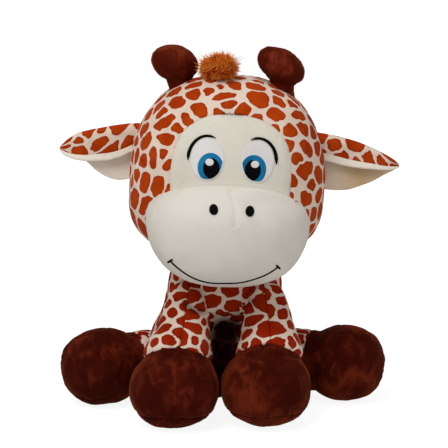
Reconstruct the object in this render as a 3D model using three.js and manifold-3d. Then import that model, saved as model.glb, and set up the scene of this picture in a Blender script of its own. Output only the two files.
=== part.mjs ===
// A seated plush giraffe with a large head, made the way a stuffed toy is sewn: cloth skins with fibre
// filling inside, a spotted head, body and legs, a cream face and muzzle with embroidered features,
// brown horns and hooves.
// Millimetres, +Z up, the giraffe faces -Y. Left and right are the giraffe's own, and its left is +X.
// The origin is the middle of the seat's flat face, on the floor.
import * as THREE from "three";
import { mergeVertices } from "three/addons/utils/BufferGeometryUtils.js";
import Module from "manifold-3d";

const wasm = await Module();
wasm.setup();

// Cloth, stitching and the gaps between neighbours.
const skin = 2.5; // short-pile cloth with its backing
const seamGap = 0.35;
const fillingGap = 1.8; // the filling's coarser facets stay this far inside the cloth
const thread = 1.2; // height of satin stitch above the cloth
const restFlat = 0.5; // how deep a stuffed form flattens on the floor
const overrun = 12; // how far a cutting shape runs past what it cuts
const turningRoom = 2.8; // room round a lifted leg

// Body, a round bag on the floor whose top is a dome that the head sits over.
const body = {
  seatRadius: 66,
  hemRadius: 82,
  hemHeight: 9,
  bellyRadius: 88,
  bellyHeight: 33,
  flankRadius: 84,
  flankHeight: 62,
  chestRadius: 71,
  chestHeight: 97,
  domeRadius: 62,
  domeHeight: 125, // the dome's centre, which is also the neck joint
};
const seatPanelRadius = 60;

// Head, measured from the neck joint before the head is turned and leaned.
const skull = {
  halfWidth: 107,
  halfDepth: 95,
  crown: 128, // centre to crown
  jaw: 76, // centre to underside
  lead: 10, // how far the centre is in front of the neck joint
  rise: 110, // centre above the neck joint
  power: 2.4,
};
const headTurn = 2.5; // degrees, towards its own left
const headLean = 3; // degrees, towards its own left

// ahead, above and below are measured from the skull's centre.
const muzzle = { halfWidth: 85, halfDepth: 62, halfHeight: 54, ahead: 73, below: 33, power: 2.3 };
const face = { halfWidth: 63, crown: 64, chin: 70, above: 27, power: 2.5 };

// Embroidery. across is the distance from the face's middle line. Each upShare and inwardShare is a share
// of the half size of what carries the patch: the face, the eye or the muzzle.
const eye = { across: 25.8, upShare: 0.27, halfWidth: 17.3, halfHeight: 21.5, rim: 1.5 };
const iris = { inwardShare: 0.22, upShare: -0.363, halfWidth: 13.4, halfHeight: 15 };
const pupil = { inwardShare: 0.266, upShare: -0.4, halfWidth: 8.6, halfHeight: 10.7 };
const glint = { inwardShare: 0.15, upShare: -0.116, halfWidth: 4.3, halfHeight: 3.7 };
const brow = { from: -4, to: 118, width: 3.4, taper: 1.6, steps: 5 }; // from and to in degrees round the eye
const nostril = { across: 18.2, upShare: 0.574, halfWidth: 4.4, halfHeight: 4.9 };
const smile = {
  halfWidth: 55,
  endUpShare: -0.528,
  midUpShare: -0.917,
  power: 2.2, // how the line rises towards its ends
  width: 1.5,
  tick: 7,
  tickWidth: 3,
};
const smileShares = [-1, -0.75, -0.4, 0, 0.4, 0.75, 1];

// Ears, each a leaf of two cloths folded forward over itself along its length.
const ear = {
  start: 4.2, // the leaf begins this far out from the root's middle line, so it clears the head as it swings
  length: 84,
  halfHeight: 30,
  foldRadius: 7,
  cloth: 2,
  rootRadius: 9.5,
  above: 38.5, // the root's middle, from the skull's centre
  rootHalfLength: 23,
  lead: 2,
};
const earTopShares = {
  right: [0.92, 0.86, 0.78, 0.66, 0.5, 0.31, 0.09],
  left: [0.84, 0.78, 0.7, 0.58, 0.44, 0.27, 0.07],
};
const earLowShares = {
  right: [-0.9, -1, -0.82, -0.48, -0.35, -0.24, -0.1],
  left: [-0.86, -1.02, -0.98, -0.87, -0.72, -0.45, -0.13],
};
const earFlapShares = {
  right: [0.14, -0.14, -0.26, -0.33, -0.34, -0.26, -0.12],
  left: [0.3, 0.1, 0.02, -0.02, -0.05, -0.09, -0.11],
};
const earFoldShares = [1, 1, 0.95, 0.86, 0.74, 0.6, 0.46];

const horn = {
  across: 55,
  lead: 14,
  sink: 4, // the root joint lies under the skull's surface
  stemRadius: 13.8,
  neckAt: 12,
  knobRadius: 24.3,
  knobAt: 30.5,
  knobShares: [-0.6, 0, 0.6], // where the knob's rings lie, as shares of its half length
  knobPower: 0.4, // 0.5 would make the knob an ellipsoid
  capAt: 40,
  length: 48.5,
  leans: { right: 20, left: -4 }, // degrees outwards, as the soft stems have settled
  tip: 10, // degrees, each way
};
const headTuft = { across: -13, lead: 38, radius: 21, height: 19, lumps: 5, lumpDepth: 1.6 };

// Front legs, stretched forward and down from the shoulder.
const foreleg = {
  across: 37.5,
  lead: 46, // in front of the seat's middle
  rise: 118,
  rootRadius: 25,
  midRadius: 30,
  midAt: 32,
  ankleRadius: 39,
  ankleAt: 66,
  endRadius: 26,
  endAt: 84,
  endReach: 92,
  lift: 25, // degrees
};
const forehoof = { halfWidth: 47.3, halfDepth: 50, halfHeight: 39.5, between: 1.6, power: 2.2 };
const forehoofLeads = { right: 106, left: 101 };
const foreSoleHeight = 13;

// Hind legs, out to the sides and a little forward.
const hindleg = {
  across: 58,
  lead: -14,
  rise: 42,
  rootRadius: 38,
  midRadius: 34,
  midAt: 20,
  ankleRadius: 34,
  ankleAt: 48,
  endRadius: 22,
  endAt: 66,
  endReach: 74,
  lift: 16, // degrees
};
const hindhoof = { halfWidth: 44, halfDepth: 42, halfHeight: 42, power: 2.2 };
const hindhoofPlaces = { right: { across: 132, lead: 24 }, left: { across: 138, lead: 8 } };
const hindSoleAt = 24; // the sole's seam plane lies this far out from the hoof's middle
const hindSoleFacing = [0.34, -0.92, 0.2];

const tail = {
  rise: 55,
  sink: 2.5,
  rootRadius: 6.5,
  tipRadius: 4.5,
  length: 44,
  droop: 53, // degrees below level
  tuftRadius: 14,
  tuftLength: 19,
};

// How many facets each form has, round it and from end to end.
const facets = {
  body: { around: 18, dome: 3 },
  bodyInside: { around: 14 },
  seat: { around: 18 },
  skull: { around: 20, along: 10 },
  muzzle: { around: 16, along: 10 },
  neck: { around: 20, along: 8 },
  face: { around: 24 },
  limb: { around: 12, end: 3 },
  hoof: { around: 14, along: 8 },
  socket: { around: 12, along: 6 },
  horn: { around: 12, end: 3 },
  earRoot: { around: 10, end: 2 },
  tail: { around: 10, end: 3 },
  tailTuft: { around: 10, along: 6 },
  headTuft: { around: 12, along: 7 },
  stitch: { curve: 8, between: 4 },
};

const cloth = {
  spotted: { color: 0xb5572b, roughness: 0.9 },
  cream: { color: 0xe6dfd4, roughness: 0.92 },
  brown: { color: 0x56200f, roughness: 0.88 },
  fur: { color: 0xb9682b, roughness: 0.95 },
  filling: { color: 0xf4f2ee, roughness: 1 },
  white: { color: 0xeceaf2, roughness: 0.7 },
  blue: { color: 0x1f7fbf, roughness: 0.6 },
  black: { color: 0x17120f, roughness: 0.7 },
};

const degrees = THREE.MathUtils.degToRad;
const up = new THREE.Vector3(0, 0, 1);
const sides = { right: -1, left: 1 };
const stitchBack = -skull.lead - muzzle.ahead;
const stitchFront = stitchBack - muzzle.halfDepth - overrun;

// A closed three.js geometry as a solid: only positions, shared vertices merged, collapsed faces dropped.
function solidFrom(geometry) {
  const bare = new THREE.BufferGeometry();
  bare.setAttribute("position", geometry.getAttribute("position"));
  if (geometry.index) bare.setIndex(geometry.index);
  const merged = mergeVertices(bare, 1e-4);
  const kept = [];
  const index = merged.index.array;
  for (let i = 0; i < index.length; i += 3) {
    const [a, b, c] = index.slice(i, i + 3);
    if (a !== b && b !== c && c !== a) kept.push(a, b, c);
  }
  return new wasm.Manifold(
    new wasm.Mesh({
      numProp: 3,
      vertProperties: merged.getAttribute("position").array,
      triVerts: new Uint32Array(kept),
    }),
  );
}

// The largest body of a solid, which drops the crumbs that a cut leaves at a seam.
function largest(solid) {
  return solid.decompose().sort((a, b) => b.volume() - a.volume())[0];
}

function geometryFrom(solid) {
  const { numVert, numProp, vertProperties, triVerts } = solid.getMesh();
  const position = new Float32Array(numVert * 3);
  for (let i = 0; i < numVert; i++) {
    position.set(vertProperties.subarray(i * numProp, i * numProp + 3), i * 3);
  }
  const geometry = new THREE.BufferGeometry();
  geometry.setAttribute("position", new THREE.BufferAttribute(position, 3));
  geometry.setIndex(new THREE.BufferAttribute(triVerts, 1));
  return geometry.toNonIndexed();
}

// A mesh in a group. A jointed group stands at its joint, so its solids are moved back by that much.
function addPiece(group, name, solid, finish, joint = new THREE.Vector3()) {
  const geometry = geometryFrom(largest(solid)).translate(-joint.x, -joint.y, -joint.z);
  geometry.computeVertexNormals();
  const mesh = new THREE.Mesh(geometry, new THREE.MeshStandardMaterial({ ...cloth[finish], metalness: 0 }));
  mesh.name = name;
  group.add(mesh);
}

function jointedGroup(parent, name, joint) {
  const group = new THREE.Group();
  group.name = name;
  group.position.copy(joint);
  parent.add(group);
  return group;
}

function union(solids) {
  return solids.reduce((a, b) => a.add(b));
}

// A stuffed form: a unit sphere pushed out to |x/a|^p + |y/b|^p + |z/c|^p = 1, whose lower half may be
// another height.
function stuffed({ at, half, lower = half[2], power, grow = 0, around, along }) {
  const geometry = new THREE.SphereGeometry(1, around, along);
  const position = geometry.getAttribute("position");
  const n = new THREE.Vector3();
  for (let i = 0; i < position.count; i++) {
    n.fromBufferAttribute(position, i);
    const height = n.z < 0 ? lower : half[2];
    const sum =
      Math.abs(n.x / (half[0] + grow)) ** power +
      Math.abs(n.y / (half[1] + grow)) ** power +
      Math.abs(n.z / (height + grow)) ** power;
    n.multiplyScalar(sum ** (-1 / power)).add(at);
    position.setXYZ(i, n.x, n.y, n.z);
  }
  return solidFrom(geometry);
}

// A profile of [radius, distance] points pushed outwards by grow, its two ends staying on the axis.
function grownProfile(points, grow) {
  const last = points.length - 1;
  return points.map(([radius, along], i) => {
    const [r0, a0] = points[Math.max(i - 1, 0)];
    const [r1, a1] = points[Math.min(i + 1, last)];
    if (i === 0) return [0, along - grow];
    if (i === last) return [0, along + grow];
    const length = Math.hypot(r1 - r0, a1 - a0);
    return [radius + (grow * (a1 - a0)) / length, along - (grow * (r1 - r0)) / length];
  });
}

// A turned form: the profile is spun about the line through from along direction.
function turned(profile, from, direction, around) {
  const points = profile.map(([radius, along]) => new THREE.Vector2(radius, along));
  const geometry = new THREE.LatheGeometry(points, around);
  const turnedTo = direction.clone().normalize();
  const spin = new THREE.Quaternion().setFromUnitVectors(new THREE.Vector3(0, 1, 0), turnedTo);
  geometry.applyQuaternion(spin).translate(from.x, from.y, from.z);
  return solidFrom(geometry);
}

// A round end: points of a ball of this radius round the profile's zero, from its pole to just short
// of its middle.
function roundEnd(radius, steps) {
  return ballProfile(radius, 2 * steps).slice(0, steps);
}

// Half a circle from pole to pole.
function ballProfile(radius, steps) {
  return Array.from({ length: steps + 1 }, (_, i) => {
    const angle = (i / steps) * Math.PI;
    return [i % steps ? radius * Math.sin(angle) : 0, -radius * Math.cos(angle)];
  });
}

// The radius of a faceted ball whose flat facets lie a seam's gap outside a ball of this radius.
function clearRadius(radius, { around, along }) {
  return (radius + seamGap) / (Math.cos(Math.PI / around) * Math.cos(Math.PI / (2 * along)));
}

// The hole that a ball of this radius turns in.
function socket(at, radius) {
  const { around, along } = facets.socket;
  const geometry = new THREE.SphereGeometry(clearRadius(radius, facets.socket), around, along);
  return solidFrom(geometry.translate(at.x, at.y, at.z));
}

// A flat outline in the XZ plane run along Y from front to back.
function prism(shape, front, back) {
  const depth = back - front;
  const curveSegments = facets.stitch.curve;
  const geometry = new THREE.ExtrudeGeometry(shape, { depth, bevelEnabled: false, curveSegments });
  geometry.rotateX(Math.PI / 2).translate(0, back, 0);
  return solidFrom(geometry);
}

function oval({ across, rise, halfWidth, halfHeight }, sign, grow) {
  const shape = new THREE.Shape();
  shape.absellipse(sign * across, rise, halfWidth + grow, halfHeight + grow, 0, 2 * Math.PI);
  return prism(shape, stitchFront, stitchBack);
}

// A ribbon of changing width along a curve given by its points.
function ribbon(points, widthAt) {
  const curve = new THREE.CatmullRomCurve3(points.map(([x, z]) => new THREE.Vector3(x, z, 0)));
  const steps = facets.stitch.between * (points.length - 1);
  const sidePoints = [1, -1].map((side) =>
    Array.from({ length: steps + 1 }, (_, i) => {
      const t = i / steps;
      const at = curve.getPoint(t);
      const along = curve.getTangent(t);
      const reach = (side * widthAt(t)) / 2;
      return new THREE.Vector2(at.x - along.y * reach, at.y + along.x * reach);
    }),
  );
  return prism(new THREE.Shape([...sidePoints[0].reverse(), ...sidePoints[1]]), stitchFront, stitchBack);
}

// A half space beyond a plane, as a wide slab: what lies past at in the direction of facing.
function beyond(at, facing, reach) {
  const direction = facing.clone().normalize();
  const geometry = new THREE.BoxGeometry(2 * reach, 2 * reach, reach).translate(0, 0, reach / 2);
  geometry.applyQuaternion(new THREE.Quaternion().setFromUnitVectors(up, direction));
  return solidFrom(geometry.translate(at.x, at.y, at.z));
}

function turnedAbout(solid, pivot, axis, angle) {
  const geometry = geometryFrom(solid);
  geometry.translate(-pivot.x, -pivot.y, -pivot.z);
  geometry.applyQuaternion(new THREE.Quaternion().setFromAxisAngle(axis, angle));
  geometry.translate(pivot.x, pivot.y, pivot.z);
  return solidFrom(geometry);
}

function moved(solid, matrix) {
  return solidFrom(geometryFrom(solid).applyMatrix4(matrix));
}

// Body.
const neckJoint = new THREE.Vector3(0, 0, body.domeHeight);
function bodyForm(grow, around = facets.body.around) {
  const steps = facets.body.dome;
  const dome = Array.from({ length: steps + 1 }, (_, i) => {
    const angle = (i / steps) * (Math.PI / 2);
    return [body.domeRadius * Math.cos(angle), body.domeHeight + body.domeRadius * Math.sin(angle)];
  });
  const profile = [
    [0, -restFlat],
    [body.seatRadius, -restFlat],
    [body.hemRadius, body.hemHeight],
    [body.bellyRadius, body.bellyHeight],
    [body.flankRadius, body.flankHeight],
    [body.chestRadius, body.chestHeight],
    ...dome.map(([radius, height], i) => [i === steps ? 0 : radius, height]),
  ];
  return turned(grownProfile(profile, grow), new THREE.Vector3(), up, around);
}

// Legs. Each is a limb form from its root joint to the ankle and a hoof form that it runs into.
function limbForm(leg, root, direction, grow) {
  const profile = [
    ...roundEnd(leg.rootRadius, facets.limb.end),
    [leg.rootRadius, 0],
    [leg.midRadius, leg.midAt],
    [leg.ankleRadius, leg.ankleAt],
    [leg.endRadius, leg.endAt],
    [0, leg.endReach],
  ];
  return turned(grownProfile(profile, grow), root, direction, facets.limb.around);
}

function hoofForm(hoof, at, grow) {
  const half = [hoof.halfWidth, hoof.halfDepth, hoof.halfHeight];
  return stuffed({ at, half, power: hoof.power, grow, ...facets.hoof });
}

const underFloor = beyond(new THREE.Vector3(0, 0, 0), up.clone().negate(), 4 * body.bellyRadius);

// One leg: its solids, its root joint and the room that it needs in the body as it lifts.
function makeLeg(leg, hoof, root, hoofAt, soleFacing, soleAt) {
  const direction = hoofAt.clone().sub(root);
  const foot = hoofForm(hoof, hoofAt, 0).subtract(underFloor).subtract(bodyForm(seamGap));
  const pastSeam = (offset) =>
    beyond(hoofAt.clone().addScaledVector(soleFacing, soleAt + offset), soleFacing, 2 * hoof.halfWidth);
  const lifting = direction.clone().cross(up).normalize();
  const pastRoot = beyond(root, direction, 2 * leg.endReach);
  const atRest = limbForm(leg, root, direction, seamGap).intersect(pastRoot);
  const grown = limbForm(leg, root, direction, turningRoom).intersect(pastRoot);
  const lifted = turnedAbout(grown, root, lifting, degrees(leg.lift));
  return {
    root,
    leg: limbForm(leg, root, direction, 0).subtract(hoofForm(hoof, hoofAt, seamGap)).subtract(underFloor),
    hoof: foot.subtract(pastSeam(-seamGap / 2)),
    sole: foot.intersect(pastSeam(seamGap / 2)),
    room: union([atRest, lifted, socket(root, leg.rootRadius)]),
  };
}

const legs = [];
for (const [side, sign] of Object.entries(sides)) {
  const root = new THREE.Vector3(sign * foreleg.across, -foreleg.lead, foreleg.rise);
  const across = sign * (forehoof.halfWidth + forehoof.between / 2);
  const hoofAt = new THREE.Vector3(across, -forehoofLeads[side], forehoof.halfHeight - restFlat);
  const down = up.clone().negate();
  const parts = makeLeg(foreleg, forehoof, root, hoofAt, down, hoofAt.z - foreSoleHeight);
  legs.push({ name: "front", side, ...parts });
}
for (const [side, sign] of Object.entries(sides)) {
  const root = new THREE.Vector3(sign * hindleg.across, -hindleg.lead, hindleg.rise);
  const { across, lead } = hindhoofPlaces[side];
  const hoofAt = new THREE.Vector3(sign * across, -lead, hindhoof.halfHeight - restFlat);
  const [x, y, z] = hindSoleFacing;
  const facing = new THREE.Vector3(sign * x, y, z).normalize();
  const parts = makeLeg(hindleg, hindhoof, root, hoofAt, facing, hindSoleAt);
  legs.push({ name: "hind", side, ...parts });
}

// Tail.
const tailRoot = new THREE.Vector3(0, body.flankRadius - tail.sink, tail.rise);
const tailDirection = new THREE.Vector3(0, Math.cos(degrees(tail.droop)), -Math.sin(degrees(tail.droop)));

function tailForm(grow) {
  const profile = [
    ...roundEnd(tail.rootRadius, facets.tail.end),
    [tail.rootRadius, 0],
    [tail.tipRadius, tail.length],
    [0, tail.length + tail.tipRadius],
  ];
  return turned(grownProfile(profile, grow), tailRoot, tailDirection, facets.tail.around);
}

function tailTuftForm() {
  const at = tailRoot.clone().addScaledVector(tailDirection, tail.length);
  at.z = tail.tuftRadius - restFlat;
  const half = [tail.tuftRadius, tail.tuftLength, tail.tuftRadius];
  return stuffed({ at, half, power: 2, ...facets.tailTuft });
}

const legRoom = union(legs.map((leg) => leg.room));
const tailRoom = socket(tailRoot, tail.rootRadius);
const bodyCuts = union([legRoom, tailForm(seamGap), tailRoom, underFloor]);

// A flat disc on the body's axis.
function disc(radius, from, to) {
  const profile = [
    [0, from],
    [radius, from],
    [radius, to],
    [0, to],
  ];
  return turned(profile, new THREE.Vector3(), up, facets.seat.around);
}

const giraffe = new THREE.Group();

const seatHole = disc(seatPanelRadius + seamGap, -overrun, body.hemHeight);
const bodyInside = bodyForm(-skin, facets.bodyInside.around);
const bodyFilling = bodyForm(-skin - fillingGap, facets.bodyInside.around);
const bodyShell = bodyForm(0).subtract(bodyInside).subtract(seatHole);
addPiece(giraffe, "body_skin", bodyShell.subtract(bodyCuts), "spotted");
addPiece(giraffe, "seat_panel", disc(seatPanelRadius, 0, skin - restFlat), "spotted");
addPiece(giraffe, "body_stuffing", bodyFilling.subtract(bodyCuts), "filling");

for (const { name, side, root, leg, hoof, sole } of legs) {
  const limb = jointedGroup(giraffe, `${name}_limb_${side}`, root);
  addPiece(limb, `${name}_leg_${side}`, leg, "spotted", root);
  addPiece(limb, `${name}_hoof_${side}`, hoof, "brown", root);
  addPiece(limb, `${name}_sole_${side}`, sole, "brown", root);
}

const tailGroup = jointedGroup(giraffe, "tail", tailRoot);
const tailSkin = tailForm(0).subtract(tailTuftForm()).subtract(underFloor);
const tailTuft = tailTuftForm().subtract(tailForm(seamGap)).subtract(underFloor);
addPiece(tailGroup, "tail_skin", tailSkin, "spotted", tailRoot);
addPiece(tailGroup, "tail_tuft", tailTuft, "fur", tailRoot);

// Head. Its group turns and leans about the neck joint; all its solids are worked out before that turn.
const head = jointedGroup(giraffe, "head", neckJoint);
const lean = new THREE.Quaternion().setFromAxisAngle(new THREE.Vector3(0, 1, 0), degrees(headLean));
const turn = new THREE.Quaternion().setFromAxisAngle(up, degrees(headTurn));
head.quaternion.copy(lean.multiply(turn));
head.updateMatrixWorld(true);

const skullAt = new THREE.Vector3(0, -skull.lead, skull.rise);
const muzzleAt = new THREE.Vector3(0, stitchBack, skull.rise - muzzle.below);
const faceRise = skull.rise + face.above;

function skullForm(grow) {
  const half = [skull.halfWidth, skull.halfDepth, skull.crown];
  return stuffed({ at: skullAt, half, lower: skull.jaw, power: skull.power, grow, ...facets.skull });
}

function muzzleForm(grow) {
  const half = [muzzle.halfWidth, muzzle.halfDepth, muzzle.halfHeight];
  return stuffed({ at: muzzleAt, half, power: muzzle.power, grow, ...facets.muzzle });
}

// Half the skull's width at a height above the neck joint.
function skullHalfWidthAt(rise) {
  const height = rise < skull.rise ? skull.jaw : skull.crown;
  return skull.halfWidth * (1 - Math.abs((rise - skull.rise) / height) ** skull.power) ** (1 / skull.power);
}

// The face's outline, a squared oval of this grow.
function facePrism(grow) {
  const steps = facets.face.around;
  const points = Array.from({ length: steps }, (_, i) => {
    const angle = (i / steps) * 2 * Math.PI;
    const [c, s] = [Math.cos(angle), Math.sin(angle)];
    const height = (s < 0 ? face.chin : face.crown) + grow;
    const round = (v) => Math.sign(v) * Math.abs(v) ** (2 / face.power);
    return new THREE.Vector2((face.halfWidth + grow) * round(c), faceRise + height * round(s));
  });
  return prism(new THREE.Shape(points), -skull.lead - skull.halfDepth - overrun, -skull.lead);
}

// Horns.
const horns = Object.entries(sides).map(([side, sign]) => {
  const share = 1 - (horn.across / skull.halfWidth) ** skull.power;
  const surface = skull.rise + skull.crown * share ** (1 / skull.power);
  const root = new THREE.Vector3(sign * horn.across, -horn.lead, surface - horn.sink);
  const leaning = degrees(horn.leans[side]);
  const direction = new THREE.Vector3(sign * Math.sin(leaning), 0, Math.cos(leaning));
  const knobHalf = horn.length - horn.knobAt;
  const knob = horn.knobShares.map((share) => [
    horn.knobRadius * (1 - share ** 2) ** horn.knobPower,
    horn.knobAt + share * knobHalf,
  ]);
  const stem = [
    ...roundEnd(horn.stemRadius, facets.horn.end),
    [horn.stemRadius, 0],
    [horn.stemRadius, horn.neckAt],
  ];
  const form = turned([...stem, ...knob, [0, horn.length]], root, direction, facets.horn.around);
  const pastSeam = (offset) =>
    beyond(root.clone().addScaledVector(direction, horn.capAt + offset), direction, 2 * horn.length);
  const tip = degrees(horn.tip);
  const flare = (at) => (horn.stemRadius + seamGap) / Math.cos(tip) + at * Math.tan(tip);
  const swing = [
    [0, 0],
    [flare(0), 0],
    [flare(horn.neckAt), horn.neckAt],
    [0, horn.neckAt],
  ];
  const swept = turned(swing, root, direction, facets.horn.around);
  return {
    side,
    root,
    stem: form.subtract(pastSeam(-seamGap / 2)),
    cap: form.intersect(pastSeam(seamGap / 2)),
    room: swept.add(socket(root, horn.stemRadius)),
  };
});

// Ears. The folded cloth's line runs from the lower edge up the back, over the top and down the front flap.
const earStations = earFoldShares.length - 1;
const foldSteps = 6; // up the back in one, over the fold in four and down the flap in one

// A point of the folded cloth at station i of the length and step j of its line, and the way out of the
// fold there.
function earPoint(side, i, j) {
  const fold = ear.foldRadius * earFoldShares[i];
  const top = ear.halfHeight * earTopShares[side][i] - fold;
  const low = Math.min(ear.halfHeight * earLowShares[side][i], top - fold / 2);
  const flap = Math.min(ear.halfHeight * earFlapShares[side][i], top - fold / 2);
  const along = ear.start + ((ear.length - ear.start) * i) / earStations;
  if (j === 0) return { along, rise: low, front: -fold, out: [0, -1] };
  if (j === foldSteps) return { along, rise: flap, front: fold, out: [0, 1] };
  const angle = Math.PI * ((j - 1) / (foldSteps - 2));
  const out = [Math.sin(angle), -Math.cos(angle)];
  return { along, rise: top + fold * out[0], front: fold * out[1], out };
}

// A folded sheet between two offsets from the folded line, closed round its edges.
function earSheet(side, sign, from, to) {
  const ring = (i) => {
    const layer = (offset) =>
      Array.from({ length: foldSteps + 1 }, (_, j) => {
        const { along, rise, front, out } = earPoint(side, i, j);
        return [sign * along, -(front + out[1] * offset), rise + out[0] * offset];
      });
    return [...layer(to), ...layer(from).reverse()];
  };
  const rings = Array.from({ length: earStations + 1 }, (_, i) => ring(i));
  const count = rings[0].length;
  const index = [];
  for (let i = 0; i < earStations; i++) {
    for (let k = 0; k < count; k++) {
      const [a, b] = [i * count + k, i * count + ((k + 1) % count)];
      index.push(a, b, a + count, b, b + count, a + count);
    }
  }
  for (const [base, flip] of [
    [0, true],
    [earStations * count, false],
  ]) {
    for (let k = 0; k < foldSteps; k++) {
      const [a, b] = [base + k, base + k + 1];
      const [c, d] = [base + count - 1 - k, base + count - 2 - k];
      index.push(...(flip ? [a, c, b, b, c, d] : [a, b, c, b, d, c]));
    }
  }
  if (sign < 0) for (let i = 0; i < index.length; i += 3) [index[i], index[i + 1]] = [index[i + 1], index[i]];
  const geometry = new THREE.BufferGeometry();
  geometry.setAttribute("position", new THREE.BufferAttribute(new Float32Array(rings.flat(2)), 3));
  geometry.setIndex(index);
  return geometry;
}

const ears = Object.entries(sides).map(([side, sign]) => {
  const low = skull.rise + ear.above - ear.rootHalfLength;
  const high = skull.rise + ear.above + ear.rootHalfLength;
  const lowPoint = new THREE.Vector3(sign * skullHalfWidthAt(low), -ear.lead, low);
  const highPoint = new THREE.Vector3(sign * skullHalfWidthAt(high), -ear.lead, high);
  const root = lowPoint.clone().add(highPoint).divideScalar(2);
  const axis = highPoint.clone().sub(lowPoint).normalize();
  const rootForm = (grow) => {
    const reach = ear.rootHalfLength;
    const end = roundEnd(ear.rootRadius, facets.earRoot.end);
    const profile = [
      ...end.map(([radius, along]) => [radius, along - reach]),
      [ear.rootRadius, -reach],
      [ear.rootRadius, reach],
      ...end.toReversed().map(([radius, along]) => [radius, reach - along]),
    ];
    return turned(grownProfile(profile, grow), root, axis, facets.earRoot.around);
  };
  const sheet = (from, to) => {
    const tilt = new THREE.Matrix4().makeShear(0, 0, 0, 0, axis.x / axis.z, 0);
    return solidFrom(earSheet(side, sign, from, to).applyMatrix4(tilt).translate(root.x, root.y, root.z));
  };
  return {
    side,
    root,
    back: sheet(seamGap / 2, ear.cloth).add(rootForm(0)),
    lining: sheet(-ear.cloth, -seamGap / 2).subtract(rootForm(seamGap)),
    room: rootForm(2 * seamGap), // so that its flat facets can turn
  };
});

// The hole over the body's dome is round about the nodding axis, so it keeps its gap at every angle.
const neckRadius = clearRadius(body.domeRadius, facets.neck);
const neckProfile = ballProfile(neckRadius, facets.neck.along);
const neckBall = turned(neckProfile, neckJoint, new THREE.Vector3(1, 0, 0), facets.neck.around);
const neckHole = moved(neckBall, head.matrixWorld.clone().invert());
const rootHoles = union([...horns, ...ears].map((one) => one.room));

const skullShell = skullForm(0).subtract(skullForm(-skin));
const headCuts = muzzleForm(seamGap).add(neckHole).add(rootHoles);
addPiece(head, "head_skin", skullShell.subtract(facePrism(seamGap / 2)).subtract(headCuts), "spotted");
addPiece(head, "face_panel", skullShell.intersect(facePrism(-seamGap / 2)).subtract(headCuts), "cream");
const muzzleShell = muzzleForm(0).subtract(muzzleForm(-skin)).subtract(skullForm(-skin));
addPiece(head, "muzzle_skin", muzzleShell.subtract(neckHole), "cream");
const headCore = skullForm(-skin - fillingGap).add(muzzleForm(-skin - fillingGap));
addPiece(head, "head_stuffing", headCore.subtract(neckHole).subtract(rootHoles), "filling");

for (const { side, root, stem, cap } of horns) {
  const hornGroup = jointedGroup(head, `horn_group_${side}`, root);
  addPiece(hornGroup, `horn_${side}`, stem, "brown", root);
  addPiece(hornGroup, `horn_cap_${side}`, cap, "brown", root);
}
for (const { side, root, back, lining } of ears) {
  const earGroup = jointedGroup(head, `ear_group_${side}`, root);
  addPiece(earGroup, `ear_back_${side}`, back, "spotted", root);
  addPiece(earGroup, `ear_lining_${side}`, lining, "cream", root);
}

// The tuft of long pile on the crown.
function tuftForm() {
  const share = 1 - (headTuft.lead / skull.halfDepth) ** skull.power;
  const crown = skull.rise + skull.crown * share ** (1 / skull.power);
  const at = new THREE.Vector3(headTuft.across, -skull.lead - headTuft.lead, crown + headTuft.height / 2);
  const geometry = new THREE.SphereGeometry(1, facets.headTuft.around, facets.headTuft.along);
  const position = geometry.getAttribute("position");
  const n = new THREE.Vector3();
  for (let i = 0; i < position.count; i++) {
    n.fromBufferAttribute(position, i);
    const swirl = headTuft.lumps * Math.atan2(n.x, n.z);
    const lump = headTuft.lumpDepth * Math.sin(swirl) * Math.sin(headTuft.lumps * n.y) * (1 - n.y ** 2);
    const across = headTuft.radius + lump;
    n.multiply(new THREE.Vector3(across, across, headTuft.height + lump)).add(at);
    position.setXYZ(i, n.x, n.y, n.z);
  }
  return solidFrom(geometry);
}
addPiece(head, "head_tuft", tuftForm().subtract(skullForm(seamGap)), "fur");

// Embroidery lies in one layer over the face and one over the muzzle, each patch inside the hole of the next.
const faceLayer = skullForm(seamGap + thread).subtract(skullForm(seamGap));
const muzzleLayer = muzzleForm(seamGap + thread).subtract(muzzleForm(seamGap));

const eyePlace = { ...eye, rise: faceRise + eye.upShare * face.crown };
const nostrilPlace = { ...nostril, rise: muzzleAt.z + nostril.upShare * muzzle.halfHeight };

// A patch of the eye, with its place worked out from the eye's.
function onEye(patch) {
  const across = eye.across - patch.inwardShare * eye.halfWidth;
  return { ...patch, across, rise: eyePlace.rise + patch.upShare * eye.halfHeight };
}

for (const [side, sign] of Object.entries(sides)) {
  // Iris and pupil end where they meet the rim of the white.
  const inEye = (patch, grow) => {
    return oval(onEye(patch), sign, grow).intersect(oval(eyePlace, sign, grow - eye.rim));
  };
  const white = oval(eyePlace, sign, 0).subtract(inEye(iris, seamGap));
  const blue = inEye(iris, 0).subtract(inEye(pupil, seamGap));
  const black = inEye(pupil, 0).subtract(oval(onEye(glint), sign, seamGap));
  addPiece(head, `eye_white_${side}`, faceLayer.intersect(white), "white");
  addPiece(head, `iris_${side}`, faceLayer.intersect(blue), "blue");
  addPiece(head, `pupil_${side}`, faceLayer.intersect(black), "black");
  addPiece(head, `eye_glint_${side}`, faceLayer.intersect(oval(onEye(glint), sign, 0)), "white");
  addPiece(head, `nostril_${side}`, muzzleLayer.intersect(oval(nostrilPlace, sign, 0)), "black");

  // The brow lies along the upper edge of the white.
  const offset = seamGap + brow.width / 2;
  const browPoints = Array.from({ length: brow.steps + 1 }, (_, i) => {
    const angle = degrees(brow.from + ((brow.to - brow.from) * i) / brow.steps);
    const across = eye.across + (eye.halfWidth + offset) * Math.cos(angle);
    return [sign * across, eyePlace.rise + (eye.halfHeight + offset) * Math.sin(angle)];
  });
  const browLine = ribbon(browPoints, (t) => brow.width + (brow.taper - brow.width) * t);
  const browPatch = faceLayer.intersect(browLine).subtract(oval(eyePlace, sign, seamGap));
  addPiece(head, `brow_${side}`, browPatch, "black");
}

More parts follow.
